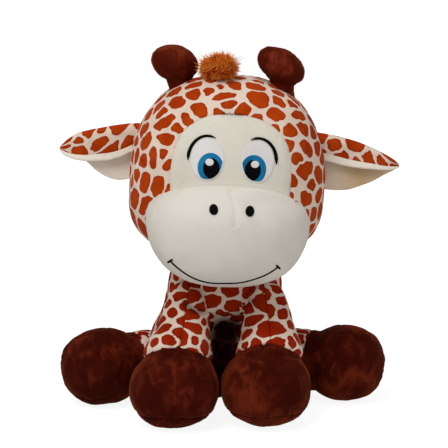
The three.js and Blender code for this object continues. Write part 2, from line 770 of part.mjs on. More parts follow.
const smileMid = muzzleAt.z + smile.midUpShare * muzzle.halfHeight;
const smileEnd = muzzleAt.z + smile.endUpShare * muzzle.halfHeight;
const smilePoints = smileShares.map((share) => [
  smile.halfWidth * share,
  smileMid + (smileEnd - smileMid) * Math.abs(share) ** smile.power,
]);
const smileLine = ribbon(smilePoints, () => smile.width);
const smileTicks = Object.values(sides).map((sign) => {
  const tickPoints = [-1, 0, 1].map((t) => [
    sign * (smile.halfWidth - (smile.tick / 2) * t),
    smileEnd + (smile.tick / 2) * t,
  ]);
  return ribbon(tickPoints, () => smile.tickWidth);
});
addPiece(head, "smile_stitch", muzzleLayer.intersect(union([smileLine, ...smileTicks])), "black");

export default giraffe;
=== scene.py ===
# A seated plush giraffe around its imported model: dense cloth skins with seams and soft lumps, spotted,
# cream and brown pile, raised embroidery and tufts of long pile. Sizes are in millimetres until a mesh is
# made. The giraffe faces -Y, its left is +X, and the origin is the middle of the seat, on the floor.
import math

import bpy
import numpy as np
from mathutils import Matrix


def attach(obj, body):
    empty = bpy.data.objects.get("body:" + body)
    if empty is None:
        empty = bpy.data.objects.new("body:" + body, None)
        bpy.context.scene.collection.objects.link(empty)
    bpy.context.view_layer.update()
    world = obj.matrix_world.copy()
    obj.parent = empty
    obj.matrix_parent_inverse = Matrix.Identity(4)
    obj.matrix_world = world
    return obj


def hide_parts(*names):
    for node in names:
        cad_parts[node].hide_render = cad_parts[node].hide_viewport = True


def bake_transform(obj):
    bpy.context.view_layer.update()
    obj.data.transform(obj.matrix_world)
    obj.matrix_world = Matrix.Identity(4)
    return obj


mm = 0.001
sides = {"right": -1, "left": 1}
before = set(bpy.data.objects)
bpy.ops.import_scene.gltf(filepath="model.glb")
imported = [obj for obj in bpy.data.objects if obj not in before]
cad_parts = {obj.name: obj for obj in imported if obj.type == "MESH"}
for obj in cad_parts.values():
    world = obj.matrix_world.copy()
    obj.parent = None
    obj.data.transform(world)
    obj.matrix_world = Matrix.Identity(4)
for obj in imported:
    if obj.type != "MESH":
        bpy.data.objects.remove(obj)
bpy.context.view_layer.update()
print("frame loaded")


def lengthOf(v):
    # the root of the sum of the squares, over the last axis
    return np.sqrt((v * v).sum(-1))


def unit(v):
    # a vector over its own length
    v = np.asarray(v, float)
    return v / np.maximum(lengthOf(v), 1e-9)[..., None]


def smooth01(x):
    # 0 below 0 and 1 above 1, with a soft start and end: three squares less two cubes
    x = np.clip(x, 0, 1)
    return x * x * (3 - 2 * x)


def softMin(a, b, soft):
    # the smaller of two distances, rounded where they are within soft of each other
    h = np.clip(0.5 + 0.5 * (b - a) / soft, 0, 1)
    return b + (a - b) * h - soft * h * (1 - h)


def ridge(x, width):
    # 1 at zero, falling off to both sides like a bell
    return np.exp(-((x / width) ** 2))


def fading(x, fade):
    # 0 up to a start and 1 from a length past it, with soft ends; a negative length turns it round
    start, length = fade
    return smooth01((x - start) / length)


def curveThrough(points, count):
    # a Catmull-Rom curve through the points, at count even steps of its parameter
    points = np.array(points, float)
    ends = np.vstack([2 * points[0] - points[1], points, 2 * points[-1] - points[-2]])
    t = np.linspace(0, len(points) - 1, count)
    i = np.minimum(t.astype(int), len(points) - 2)
    f = (t - i)[:, None]
    a, b, c, d = ends[i], ends[i + 1], ends[i + 2], ends[i + 3]
    return 0.5 * (2 * b + (c - a) * f + (2 * a - 5 * b + 4 * c - d) * f**2 + (3 * b - 3 * c + d - a) * f**3)


def runOf(line):
    # how far along the line each of its points is
    return np.concatenate([[0], np.cumsum(lengthOf(np.diff(line, axis=0)))])


def evenly(line, count):
    # the same line with its points at even distances
    run = runOf(line)
    at = np.linspace(0, run[-1], count)
    return np.stack([np.interp(at, run, line[:, k]) for k in range(line.shape[1])], -1)


def ripple(points, size, seed, waves=20):
    # soft noise of about this wavelength: a sum of sine waves in random directions, about -1 to 1
    rng = np.random.default_rng(seed)
    heading = unit(rng.normal(size=(waves, 3))) * (2 * math.pi / size)
    heading *= rng.uniform(0.6, 1.5, waves)[:, None]
    phase = rng.uniform(0, 2 * math.pi, waves)
    return np.sin(points @ heading.T + phase).sum(-1) * math.sqrt(0.5 / waves)


def lumpy(points, layers, seed):
    # the filling's lumps: a sum of noises, each layer with a wavelength, a height and the next seed
    return sum(ripple(points, size, seed + k) * height for k, (size, height) in enumerate(layers))


def puckered(points, distance, look, seed):
    # gathers along a seam: noise of a wavelength and a height that fades over a reach from the seam
    size, height, reach = look
    return ripple(points, size, seed) * height * ridge(distance, reach)


def groove(distance, look):
    # how far a seam draws the cloth in: a depth in its bottom, fading over a width like a bell
    depth, width = look
    return depth * ridge(distance, width)


def turnSteps(count):
    # even angles once round, from zero
    return np.arange(count) * (2 * math.pi / count)


def around(angle, first, second):
    # the ways at these angles: the first by the cosine, and the second by the sine
    return np.cos(angle)[:, None] * first + np.sin(angle)[:, None] * second


def spread(axis, front):
    # an axis and two unit vectors across it, the first one nearest to front
    axis = unit(axis)
    first = unit(np.array(front, float) - axis * np.dot(front, axis))
    return axis, first, np.cross(axis, first)


def turnedGrid(profile, at, axis, front, columns):
    # a profile of (radius, distance) carried round an axis: column 0 faces front
    axis, first, second = spread(axis, front)
    ring = around(turnSteps(columns), first, second)
    return np.array(at) + profile[:, 1, None, None] * axis + profile[:, 0, None, None] * ring


# An oval form is |x/a|^p + |y/b|^p + |z/c|^p = 1, and its lower half may have a height of its own.


def heightOf(form, above):
    # the half height for points above or below an oval's middle
    c = form["half"][2]
    return np.where(above < 0, form.get("low", c), c)


def ovalArc(share, power):
    # how far out a squared oval is, as a share of one half, at this share of the other half
    return (1 - abs(share) ** power) ** (1 / power)


def ovalGrid(form, rows, columns):
    # an oval by longitude and latitude, pole to pole along z: column 0 faces the back
    angle = turnSteps(columns) + math.pi / 2
    rise = (np.arange(rows) + 0.5) / rows * math.pi - math.pi / 2
    x = np.cos(rise)[:, None] * np.cos(angle)
    y = np.cos(rise)[:, None] * np.sin(angle)
    z = np.broadcast_to(np.sin(rise)[:, None], x.shape)
    p = form["power"]
    out = (abs(x) ** p + abs(y) ** p + abs(z) ** p) ** (-1 / p)
    a, b, _ = form["half"]
    return np.stack([x * a, y * b, z * heightOf(form, z)], -1) * out[..., None] + np.array(form["at"], float)


def frontOf(form, x, rise):
    # the front surface of an oval over a place on the picture plane
    a, b, _ = form["half"]
    cx, cy, cz = form["at"]
    power = form["power"]
    left = 1 - abs((x - cx) / a) ** power - abs((rise - cz) / heightOf(form, rise - cz)) ** power
    return np.stack([x, cy - b * np.maximum(left, 1e-6) ** (1 / power), rise], -1)


# A field says how far a point is outside a form: negative inside, zero on its surface.


def ovalField(form):
    # the distance to the middle, less the part of it that lies inside the oval
    a, b, _ = form["half"]
    p = form["power"]
    at = np.array(form["at"], float)

    def field(points):
        q = points - at
        height = heightOf(form, q[..., 2])
        share = abs(q[..., 0] / a) ** p + abs(q[..., 1] / b) ** p + abs(q[..., 2] / height) ** p
        share = np.maximum(share, 1e-6) ** (1 / p)
        return lengthOf(q) * (1 - 1 / share)

    return field


def turnedField(profile, at, axis):
    # a turned form with a ball at its start: profile rows of (radius, distance) go up in distance
    axis = unit(axis)
    at = np.array(at, float)

    def field(points):
        q = points - at
        along = q @ axis
        side = lengthOf(q - along[..., None] * axis)
        radius = np.interp(along, profile[:, 1], profile[:, 0])
        past = np.maximum(along - profile[-1, 1], 0)
        return np.where(along < 0, lengthOf(q) - profile[0, 0], np.hypot(side, past) - radius)

    return field


def normalsOf(grid, closed=True):
    # the way out of a grid, from the differences between its rows and its columns
    down = np.gradient(grid, axis=0)
    if closed:
        across = np.roll(grid, -1, axis=1) - np.roll(grid, 1, axis=1)
    else:
        across = np.gradient(grid, axis=1)
    n = unit(np.cross(across, down))
    middle = grid.reshape(-1, 3).mean(0)
    return n if (n * (grid - middle)).sum() > 0 else -n


def fieldNormals(field, points, step=0.5):
    # the way out of a field, from its differences along x, y and z
    n = [field(points + step * e) - field(points - step * e) for e in np.eye(3)]
    return unit(np.stack(n, -1))


# how two skins meet: how soft their union is, how deep its groove, and how far the covered one sinks
joins = {"limb": (4, 1.6, 1.8), "hoof": (4, 1.0, 1.8), "muzzle": (7.0, 0.5, 1.2)}
settling = {"rounds": 14, "step": 0.7, "sinkOver": 3.0, "grooveWidth": 2.6}


def settled(grid, normals, own, neighbours, reach=7.0):
    # slides points along their normals onto the soft union of a form with its neighbours, then lets each
    # sink where the neighbour is nearer, with a groove between the two
    out = np.zeros(grid.shape[:-1])
    for _ in range(settling["rounds"]):
        points = grid + normals * out[..., None]
        mine = own(points)
        level = mine
        for field, soft, depth, sink, *bias in neighbours:
            other = field(points)
            level = softMin(level, other, soft)
            over = mine - other + (bias[0](points) if bias else 0)
            level = level + sink * np.clip(over / settling["sinkOver"], 0, 1)
            level = level + groove(over, (depth, settling["grooveWidth"]))
        out = np.clip(out - settling["step"] * level, -reach, reach)
    return grid + normals * out[..., None]


def onFloor(grid, soft, lift=0.25):
    # rests a form on the floor: heights under the floor come up to it, with a soft edge
    grid = grid.copy()
    grid[..., 2] = lift + soft * np.logaddexp(0, (grid[..., 2] - lift) / soft)
    return grid


def makePiece(name, grid, material, values=None):
    # a grid of points as a closed mesh: each end ring is closed by a fan to its middle
    rows, columns = grid.shape[:2]
    n = rows * columns
    points = np.vstack([grid.reshape(-1, 3), grid[0].mean(0), grid[-1].mean(0)]) * mm
    i = np.arange(rows - 1)[:, None] * columns
    j = np.arange(columns)[None, :]
    k = (j + 1) % columns
    quads = np.stack([i + j, i + k, i + columns + k, i + columns + j], -1).reshape(-1, 4)
    j, k = j[0], k[0]
    first = np.stack([np.full(columns, n), k, j], -1)
    last = np.stack([np.full(columns, n + 1), n - columns + j, n - columns + k], -1)
    fans = np.vstack([first, last])
    # six times the volume: it is negative when the faces point inwards
    corners = [points[np.vstack([quads[:, :3], quads[:, [0, 2, 3]], fans])[:, m]] for m in range(3)]
    if (corners[0] * np.cross(corners[1], corners[2])).sum() < 0:
        quads, fans = quads[:, ::-1], fans[:, ::-1]
    ends = {title: [value[0].mean(), value[-1].mean()] for title, value in (values or {}).items()}
    values = {title: np.concatenate([values[title].reshape(-1), ends[title]]) for title in ends}
    return finishPiece(name, points, quads.tolist() + fans.tolist(), material, values)


def addObject(name, data):
    # an object in the scene that holds this data
    holder = bpy.data.objects.new(name, data)
    bpy.context.scene.collection.objects.link(holder)
    return holder


def finishPiece(name, points, faces, material, values):
    # a smooth mesh with one value of each title at each point
    mesh = bpy.data.meshes.new(name)
    mesh.from_pydata(points.tolist(), [], faces)
    for title, value in values.items():
        mesh.attributes.new(title, "FLOAT", "POINT").data.foreach_set("value", value.astype(np.float32))
    mesh.polygons.foreach_set("use_smooth", np.ones(len(mesh.polygons), bool))
    mesh.materials.append(material)
    mesh.update()
    piece = addObject(name, mesh)
    return piece


spotLook = {
    "soft": 2.5,  # how round a spot's corners are
    "stretch": 0.36,
    "wobble": 1.2,
    "waver": 10.0,  # the wobble's wavelength
    "crowding": 0.34,  # how much closer the spots are in some places
    "crowdingSize": 46.0,
    "cover": 0.8,  # no cloth is further from a seed than this share of the spacing
    "most": 600,
    "scatter": 0.08,
    "extraGap": (-0.12, 0.16),
    "deepest": 14.0,
    "batch": 3000,
}


def spotEdge(grid, panels, spacing, gap, seed, squeeze=(1, 1, 1)):
    # millimetres inside the nearest spot's edge. Seeds are spread over each panel of cloth by taking the
    # farthest point each time. A spot is what is left of its seed's share of the cloth when a gap is taken
    # off along each border, and a soft minimum over the borders rounds its corners. Squeezed lengths make
    # the spots longer across them
    points = grid.reshape(-1, 3) * np.array(squeeze)
    ids = np.broadcast_to(panels, grid.shape[:-1]).reshape(-1)
    edge = np.full(len(points), -gap)
    rng = np.random.default_rng(seed)
    for panel in np.unique(ids):
        chosen = np.flatnonzero(ids == panel)
        cloth = points[chosen]
        crowding = ripple(cloth, spotLook["crowdingSize"], seed + 1 + int(panel))
        density = 1 + spotLook["crowding"] * crowding
        start = rng.integers(len(cloth))
        far = lengthOf(cloth - cloth[start])
        seeds = [cloth[start]]
        while len(seeds) < spotLook["most"]:
            pick = np.argmax(far * density)
            if far[pick] * density[pick] < spacing * spotLook["cover"]:
                break
            seeds.append(cloth[pick])
            far = np.minimum(far, lengthOf(cloth - cloth[pick]))
        seeds = np.array(seeds)
        seeds += rng.normal(scale=spacing * spotLook["scatter"], size=seeds.shape)
        lean = unit(rng.normal(size=seeds.shape))
        lean *= np.sqrt(rng.uniform(0, spotLook["stretch"], len(seeds)))[:, None]
        extra = rng.uniform(*spotLook["extraGap"], len(seeds)) * gap
        wobble = [ripple(cloth, spotLook["waver"], seed + 40 + k) * spotLook["wobble"] for k in range(3)]
        warped = cloth + np.stack(wobble, -1)
        for part in np.array_split(np.arange(len(cloth)), max(1, len(cloth) // spotLook["batch"])):
            q = warped[part][:, None] - seeds[None]
            along = (q * lean[None]).sum(-1)
            square = (q * q).sum(-1) - along**2
            near = square.argmin(1)
            nearest = (np.arange(len(part)), near)
            steep = q - along[..., None] * lean[None]
            steep = lengthOf(steep - steep[nearest][:, None])
            border = (square - square[nearest][:, None]) / np.maximum(2 * steep, 1e-3)
            weight = np.exp(-np.clip(border / spotLook["soft"], 0, 60))
            weight[nearest] = 0
            inside = -spotLook["soft"] * np.log(np.maximum(weight.sum(1), 1e-20))
            edge[chosen[part]] = np.minimum(inside, spotLook["deepest"]) - gap / 2 - extra[near]
    return edge.reshape(grid.shape[:-1])


class Number:
    # a number's socket, which adds a Math node to its tree where it is used in a sum
    def __init__(self, tree, socket):
        self.tree = tree
        self.socket = socket

    def math(self, operation, first, second, clamp=False):
        # one Math node on two numbers or sockets
        settings = {"operation": operation, "use_clamp": clamp}
        return Number(self.tree, self.tree.add("ShaderNodeMath", settings, {0: first, 1: second}).outputs[0])

    def __add__(self, other):
        return self.math("ADD", self, other)

    def __sub__(self, other):
        return self.math("SUBTRACT", self, other)

    def __mul__(self, other):
        return self.math("MULTIPLY", self, other)

    __radd__ = __add__
    __rmul__ = __mul__

    def __rsub__(self, other):
        return self.math("SUBTRACT", other, self)

    def held(self):
        # kept between 0 and 1
        return self.math("ADD", self, 0.0, clamp=True)


class Tree:
    # the nodes of a material or of the world
    def __init__(self, owner):
        owner.use_nodes = True
        self.nodes = owner.node_tree.nodes
        self.links = owner.node_tree.links

    def put(self, node, inputs):
        # each input gets a link where it is given a socket, and a value where it is given one
        for key, value in inputs.items():
            if isinstance(value, Number):
                value = value.socket
            if isinstance(value, bpy.types.NodeSocket):
                self.links.new(value, node.inputs[key])
            elif value is not None:
                node.inputs[key].default_value = value

    def add(self, kind, settings=None, inputs=None):
        # a node of any kind, with its settings made before its inputs
        node = self.nodes.new(kind)
        for key, value in (settings or {}).items():
            setattr(node, key, value)
        self.put(node, inputs or {})
        return node

    def shownRays(self):
        # 1 for the rays that the camera sees, directly, in a gloss or through glass
        path = self.add("ShaderNodeLightPath")
        rays = [Number(self, path.outputs[f"Is {kind} Ray"]) for kind in ("Camera", "Glossy", "Transmission")]
        return (rays[0] + rays[1] + rays[2]).held()


class Shader(Tree):
    # a material with one Principled shader, and the few ways this scene adds nodes to it
    def __init__(self, name, settings):
        self.material = bpy.data.materials.new(name)
        super().__init__(self.material)
        self.cloth = self.nodes["Principled BSDF"]
        self.put(self.cloth, settings)
        self.place = self.add("ShaderNodeTexCoord").outputs["Object"]

    def value(self, name):
        # a value that the mesh holds at its points
        return Number(self, self.add("ShaderNodeAttribute", {"attribute_name": name}).outputs["Fac"])

    def noise(self, scale, detail=2.0, rough=0.5, stretch=None, twist=0.0):
        # noise of this many waves a metre, finer along the axes that are stretched
        where = self.place
        if stretch:
            where = self.add("ShaderNodeMapping", None, {"Vector": where, "Scale": stretch}).outputs[0]
        inputs = {"Vector": where, "Scale": scale, "Detail": detail, "Roughness": rough, "Distortion": twist}
        return Number(self, self.add("ShaderNodeTexNoise", None, inputs).outputs["Fac"])

    def ramp(self, value, low, high):
        # 0 at low and 1 at high, with soft ends
        inputs = {"Value": value, "From Min": low, "From Max": high}
        node = self.add("ShaderNodeMapRange", {"interpolation_type": "SMOOTHSTEP"}, inputs)
        return Number(self, node.outputs["Result"])

    def mix(self, share, first, second, blend="MIX"):
        # the first colour, and as much of the second or of their product as the share says
        node = self.add("ShaderNodeMix", {"data_type": "RGBA", "blend_type": blend})
        self.put(node, {0: share, 6: first, 7: second})
        return node.outputs[2]

    def darker(self, share, colour, tint):
        # the colour times the tint, where the share is 1
        return self.mix(share, colour, colours[tint], "MULTIPLY")

    def speckled(self, colour, tint, scale, past, strength):
        # darker specks where fine noise is past a level
        return self.darker((self.noise(scale, 2, 0.6) - past) * strength, colour, tint)

    def sewn(self, colour, tint, width, strength):
        # darker along a seam: all of it in its bottom, and nothing a width away; partly the seam's own dark
        # line, partly painted shade in its groove
        return self.darker(self.ramp(self.value("seam"), width, 0.2) * strength, colour, tint)

    def bump(self, height, distance, strength=1.0, under=None):
        # a relief of this depth in metres
        inputs = {"Height": height, "Distance": distance, "Strength": strength, "Normal": under}
        return self.add("ShaderNodeBump", None, inputs).outputs[0]

    def pileBump(self, strength=1.0):
        # short pile: fine tufts, over soft patches where it has been brushed
        fine = self.noise(900, 3, 0.7)
        under = self.bump(self.noise(60, 2, 0.5), 0.0012, 0.5 * strength)
        return self.bump(fine, 0.00035, 0.55 * strength, under)

    def finished(self, colour, normal=None):
        # the material, once its colour and its relief are known
        self.put(self.cloth, {"Base Color": colour, "Normal": normal})
        return self.material


def linear(levels):
    # a colour as it is read off a picture, 0 to 255, in the shader's own light values
    share = np.array(levels) / 255
    light = np.where(share < 0.04045, share / 12.92, ((share + 0.055) / 1.055) ** 2.4)
    return [float(v) for v in light] + [1.0]


colours = {
    "cream": (222, 216, 202),
    "creamShade": (214, 207, 193),
    "creamSpeck": (140, 122, 100),
    # the seam tints hold the seams' own dark line and painted shade in their grooves
    "creamSeam": (150, 132, 112),
    "clothCream": (232, 214, 198),
    "clothShade": (222, 201, 183),
    "clothSpeck": (90, 40, 22),
    "clothSeam": (92, 44, 28),
    # painted shade for recesses and creases
    "clothPaintedShade": (66, 34, 28),
    "muzzle": (224, 218, 208),
    "muzzleShade": (216, 209, 198),
    "spot": (184, 66, 10),
    "spotShade": (164, 50, 5),
    "spotRim": (136, 34, 5),
    # the spots darker and redder for the body, seat, legs and tail: painted shade under the head, and painted
    # red light bounced off the cloth
    "shadedRedSpot": (160, 40, 8),
    "shadedRedPatch": (140, 30, 5),
    "shadedRedRim": (112, 20, 5),
    "halo": (236, 200, 176),
    "brown": (84, 25, 12),
    "brownShade": (60, 13, 6),
    "brownSheen": (108, 40, 20),
    "brownGlow": (226, 118, 60),
    "brownSpeck": (60, 22, 12),
    "brownSeam": (60, 24, 16),
    "hornBrown": (98, 31, 15),
    "hornShade": (78, 20, 8),
    "hornSheen": (118, 46, 26),
    "pile": (232, 104, 22),
    # the tip holds painted highlight, the root painted shade
    "pileTip": (252, 162, 66),
    "pileRoot": (150, 44, 6),
    "pileLot": (150, 80, 36),
    "lining": (246, 238, 223),
    "liningShade": (238, 228, 211),
    # painted shade under an ear's fold
    "liningPaintedShade": (214, 186, 148),
    "white": (232, 229, 226),
    "whiteShade": (224, 220, 218),
    "blue": (28, 124, 172),
    "blueShade": (14, 92, 136),
    "black": (4, 4, 4),
    "blackShade": (10, 9, 9),
    "threadGap": (70, 60, 60),
}
colours = {name: linear(levels) for name, levels in colours.items()}


def spottedCloth(name, spot, shade, rimColour):
    # brown inside a spot's edge and darker near it, cream outside with a warm halo, painted shade in recesses
    # and creases
    look = {"Roughness": 0.86, "Sheen Weight": 0.03, "Sheen Roughness": 0.4, "Specular IOR Level": 0.02}
    shader = Shader(name, look)
    edge = shader.value("spot") + (shader.noise(420, 2, 0.6) - 0.5) * 0.9
    mask = shader.ramp(edge, -0.2, 0.2)
    rim = shader.ramp(edge, 1.5, 0.3)
    halo = shader.ramp(edge, -1.5, -0.2)
    patches = shader.ramp(shader.noise(26, 3, 0.6, twist=0.6), 0.35, 0.68)
    cream = shader.mix(patches, colours["clothCream"], colours["clothShade"])
    cream = shader.mix(halo * 0.65, cream, colours["halo"])
    brown = shader.mix(patches, colours[spot], colours[shade])
    brown = shader.mix(rim * 0.7, brown, colours[rimColour])
    colour = shader.mix(mask, cream, brown)
    colour = shader.speckled(colour, "clothSpeck", 700, 0.35, 0.35)
    colour = shader.sewn(colour, "clothSeam", 1.3, 0.45)
    # painted shade: the mesh's fold value darkens recesses and creases where shade falls
    colour = shader.darker(shader.value("fold"), colour, "clothPaintedShade")
    return shader.finished(colour, shader.pileBump())


def creamCloth(name, light, shade):
    # two creams in soft patches, with painted shade, a tan, where the mesh's deep value says it lies deep
    # under a fold
    look = {"Roughness": 0.9, "Sheen Weight": 0.05, "Sheen Roughness": 0.5, "Specular IOR Level": 0.02}
    shader = Shader(name, look)
    patches = shader.ramp(shader.noise(17, 4, 0.62, stretch=(1, 1, 0.6), twist=0.8), 0.36, 0.7)
    colour = shader.mix(patches, colours[light], colours[shade])
    colour = shader.speckled(colour, "creamSpeck", 650, 0.4, 0.22)
    colour = shader.sewn(colour, "creamSeam", 1.6, 0.14)
    # painted shade where the lining lies under a fold
    colour = shader.darker(shader.value("deep"), colour, "liningPaintedShade")
    return shader.finished(colour, shader.pileBump(0.8))


def brownCloth(name, pile, shade, brushedUp):
    # the darker pile shows where it was brushed: soft patches, and lighter where it is seen edge on
    look = {"Roughness": 0.85, "Sheen Weight": 0.22, "Sheen Roughness": 0.35, "Specular IOR Level": 0.02}
    shader = Shader(name, {**look, "Sheen Tint": colours["brownGlow"]})
    broad = shader.noise(20, 2, 0.5, twist=0.2)
    small = shader.noise(42, 4, 0.6, stretch=(1.9, 1.5, 1.0), twist=0.6)
    brushed = broad * 0.5 + small * 0.5
    colour = shader.mix(shader.ramp(brushed, 0.58, 0.44), colours[pile], colours[shade])
    colour = shader.mix(shader.ramp(brushed, 0.5, 0.64) * 0.8, colour, colours[brushedUp])
    colour = shader.speckled(colour, "brownSpeck", 800, 0.35, 0.45)
    colour = shader.sewn(colour, "brownSeam", 1.4, 0.5)
    return shader.finished(colour, shader.pileBump(1.2))


def longPile(name):
    # the strands' own values: how far along the strand, and one random value a strand; darker towards the
    # root as painted shade deep in the tuft, lighter at the tip as painted highlight
    shader = Shader(name, {"Roughness": 0.62, "Specular IOR Level": 0.05})
    along = shader.value("along")
    lot = shader.value("lot")
    colour = shader.mix(shader.ramp(along, 0.0, 0.5), colours["pileRoot"], colours["pile"])
    colour = shader.mix(shader.ramp(along + lot * 0.5, 0.75, 1.3), colour, colours["pileTip"])
    return shader.finished(shader.darker((1 - lot) * 0.45, colour, "pileLot"))


def threadStitch(name, light, shade, rough=0.5):
    # satin stitch: fine parallel threads, bowed a little, with darker gaps between them
    pitch, waveLength = 0.9 * mm, 3.2
    shader = Shader(name, {"Roughness": rough, "Specular IOR Level": 0.03})
    inputs = {"Vector": shader.place, "Scale": 1 / pitch / waveLength, "Distortion": 1.2, "Detail": 1.0}
    wave = shader.add("ShaderNodeTexWave", {"bands_direction": "DIAGONAL"}, inputs)
    threads = Number(shader, wave.outputs["Fac"])
    patches = shader.ramp(shader.noise(45, 2, 0.5), 0.3, 0.75)
    colour = shader.mix(patches, colours[light], colours[shade])
    colour = shader.darker((1 - threads) * 0.14, colour, "threadGap")
    return shader.finished(colour, shader.bump(threads, 0.0002, 0.6))


cloths = {
    "spotted": spottedCloth("spottedPile", "spot", "spotShade", "spotRim"),
    # the spotted cloth with painted shade and painted bounced red light, for the body, seat, legs and tail
    "shadedSpotted": spottedCloth("shadedSpottedPile", "shadedRedSpot", "shadedRedPatch", "shadedRedRim"),
    "face": creamCloth("creamPile", "cream", "creamShade"),
    "muzzle": creamCloth("muzzlePile", "muzzle", "muzzleShade"),
    "lining": creamCloth("liningPile", "lining", "liningShade"),
    "brown": brownCloth("brownPile", "brown", "brownShade", "brownSheen"),
    "hornBrown": brownCloth("hornPile", "hornBrown", "hornShade", "hornSheen"),
    "pile": longPile("longPile"),
    "white": threadStitch("whiteStitch", "white", "whiteShade"),
    "blue": threadStitch("blueStitch", "blue", "blueShade"),
    "black": threadStitch("blackStitch", "black", "blackShade", rough=0.7),
}
print("materials made")


body = {
    "side": [(66, 0), (82, 9), (88, 33), (84, 62), (71, 97)],
    "domeRadius": 62.0,
    "domeAt": 125.0,
    "slope": 0.96,  # what its field gives for a millimetre, so that a step never goes too far
    "rows": 150,
    "columns": 300,
    "lumps": [(62, 1.5), (24, 0.45)],
    "lumpsFrom": (4, 12),
    "gathers": {"folds": 31, "uneven": 2.2, "waves": 7, "height": 0.75, "at": 132, "reach": 22},
    "floorGap": 0.3,
    "seam": (1.1, 2.0),
    "spots": {"spacing": 20.0, "gap": 2.0, "seed": 301, "squeeze": (1, 1, 1.35)},
}
sway = {"from": (50, 60), "way": 3.6, "fuller": 0.8, "fullerFrom": (0, 45)}
hollow = {  # between the front legs, a little to the left
    "across": 4,
    "deep": 38.0,
    "width": 26,
    "top": (116.0, -26),
    "front": (0, -30),
    # painted shade in the hollow: how fast it darkens with the hollow's depth, and from where
    "dark": (2.3, 0.95),
    "lift": 0.17,  # how steeply the seat's edge rises there
    "liftFrom": 35,
    "liftWidth": 22,
    "liftReach": 30,
}
seat = {
    "radius": 60.0,
    "level": 0.35,
    "puff": 0.5,
    "edge": [(0.995, 1.8), (0.97, 2.2)],  # shares of the radius, and heights
    "rings": 26,
    "columns": 120,
    "spots": {"spacing": 19.0, "gap": 2.0, "seed": 311},
}
limb = {  # what all legs share
    "rows": 78,
    "bowTo": (92, -30),
    "lumps": [(40, 0.9), (15, 0.35)],
    "lumpsFade": 12,
    "bodyGathers": (6.5, 0.6, 9),
    "hoofGathers": (6.5, 0.5, 7.0),
    "gatherSeed": 90,  # the same for both cloths of a seam, so they keep together
    "seamGathers": (7, 0.5, 5),
    "seam": (0.9, 1.9),
    "spots": {"spacing": 18.8, "gap": 1.7, "squeeze": (1, 1, 1.25)},
}
foreleg = {
    "root": (37.5, -46, 118),
    "line": [(24, 0), (28.5, 32), (36.8, 66), (25, 84), (0, 92)],
    "front": (0, -1, 0.5),
    "blendTo": 48.0,
    "bows": {"right": 1.5, "left": 6.0},
    "toes": {"right": 8.0, "left": 11.0},
    "toeFrom": 20,
    "toeWidth": 34,
    "pinches": {"right": [(-46, 126), (-17, 111)], "left": [(17, 117), (34, 128)]},
    "pinchDepths": {"right": 3.2, "left": 1.6},
    "pinchWidth": 3.4,
    "pinchFade": 14,
    # how deep a crease is where its painted shade is full
    "pinchShadeDepth": 5,
    "columns": 116,
}
hindleg = {
    "root": (58, 14, 42),
    "line": [(38, 0), (34, 20), (34, 48), (22, 66), (0, 74)],
    "front": (0, -0.3, 1),
    "blendTo": 40.0,
    "bows": {"right": 0.0, "left": 0.0},
    "toes": {"right": 8.0, "left": 9.0},
    "columns": 124,
}
forehoof = {
    "half": (47.3, 50, 39.5),
    "power": 2.2,
    "between": 1.6,
    "leads": {"right": 106, "left": 101},
    "soleAt": 17.5,
    "facing": (0, 0, -1),
    "first": (0, -1, 0),
    "sunk": 0.0,
}
hindhoof = {
    "half": (44, 42, 42),
    "power": 2.2,
    "places": {"right": (132, 24), "left": (138, 8)},
    "soleAt": 24.0,
    "facing": (0.34, -0.92, 0.2),
    "first": (0, 0, 1),
    "sunk": 0.6,  # how far the sole's seam has sunk into the pile
}
hoofCloth = {
    "columns": 150,
    "reach": 12.0,
    "lumps": [(46, 1.1), (17, 0.4)],
    "soleGathers": (6, 0.5, 6),
    "soleSeam": (1.5, 1.8),
    "middleSeam": (0.5, 1.7),
    "turnedIn": 0.12,
    "tuck": 1.5,
    "furthest": 90.0,
}
restFlat = 0.5  # how far hooves and tail are pressed onto the floor

domeSteps = np.linspace(0, math.pi / 2, 40)[1:-1]
domeRise = body["domeAt"] + body["domeRadius"] * np.sin(domeSteps)
bodySide = curveThrough([*body["side"], (body["domeRadius"], body["domeAt"])], 90)
bodyProfile = np.vstack([bodySide, np.stack([body["domeRadius"] * np.cos(domeSteps), domeRise], -1)])


def swayed(points):
    # the upper body and the tops of its legs sit a little to the left, and are fuller on that side
    x, z = points[..., 0].copy(), points[..., 2]
    points = points.copy()
    way = sway["way"] + sway["fuller"] * fading(x, sway["fullerFrom"])
    points[..., 0] += fading(z, sway["from"]) * way
    return points


def seatLift(points):
    # how far the seat's edge is drawn up off the floor between the front legs
    x, y = points[..., 0], points[..., 1]
    ahead = hollow["liftFrom"] - y
    return hollow["lift"] * np.maximum(ahead, 0) * ridge(x - hollow["across"], hollow["liftWidth"])


def hollowOf(points):
    # how far the belly is drawn in between the front legs
    x, y, z = points[..., 0], points[..., 1], points[..., 2]
    across = ridge(x - hollow["across"], hollow["width"])
    return hollow["deep"] * across * fading(z, hollow["top"]) * fading(y, hollow["front"])


def bodyField(points):
    # out from the side below the dome's centre, and from the ball above it
    across = lengthOf(points[..., :2])
    height = points[..., 2]
    side = across - np.interp(height, bodySide[:, 1], bodySide[:, 0])
    dome = np.hypot(across, height - body["domeAt"]) - body["domeRadius"]
    return np.where(height > body["domeAt"], dome, side) * body["slope"] + hollowOf(points)


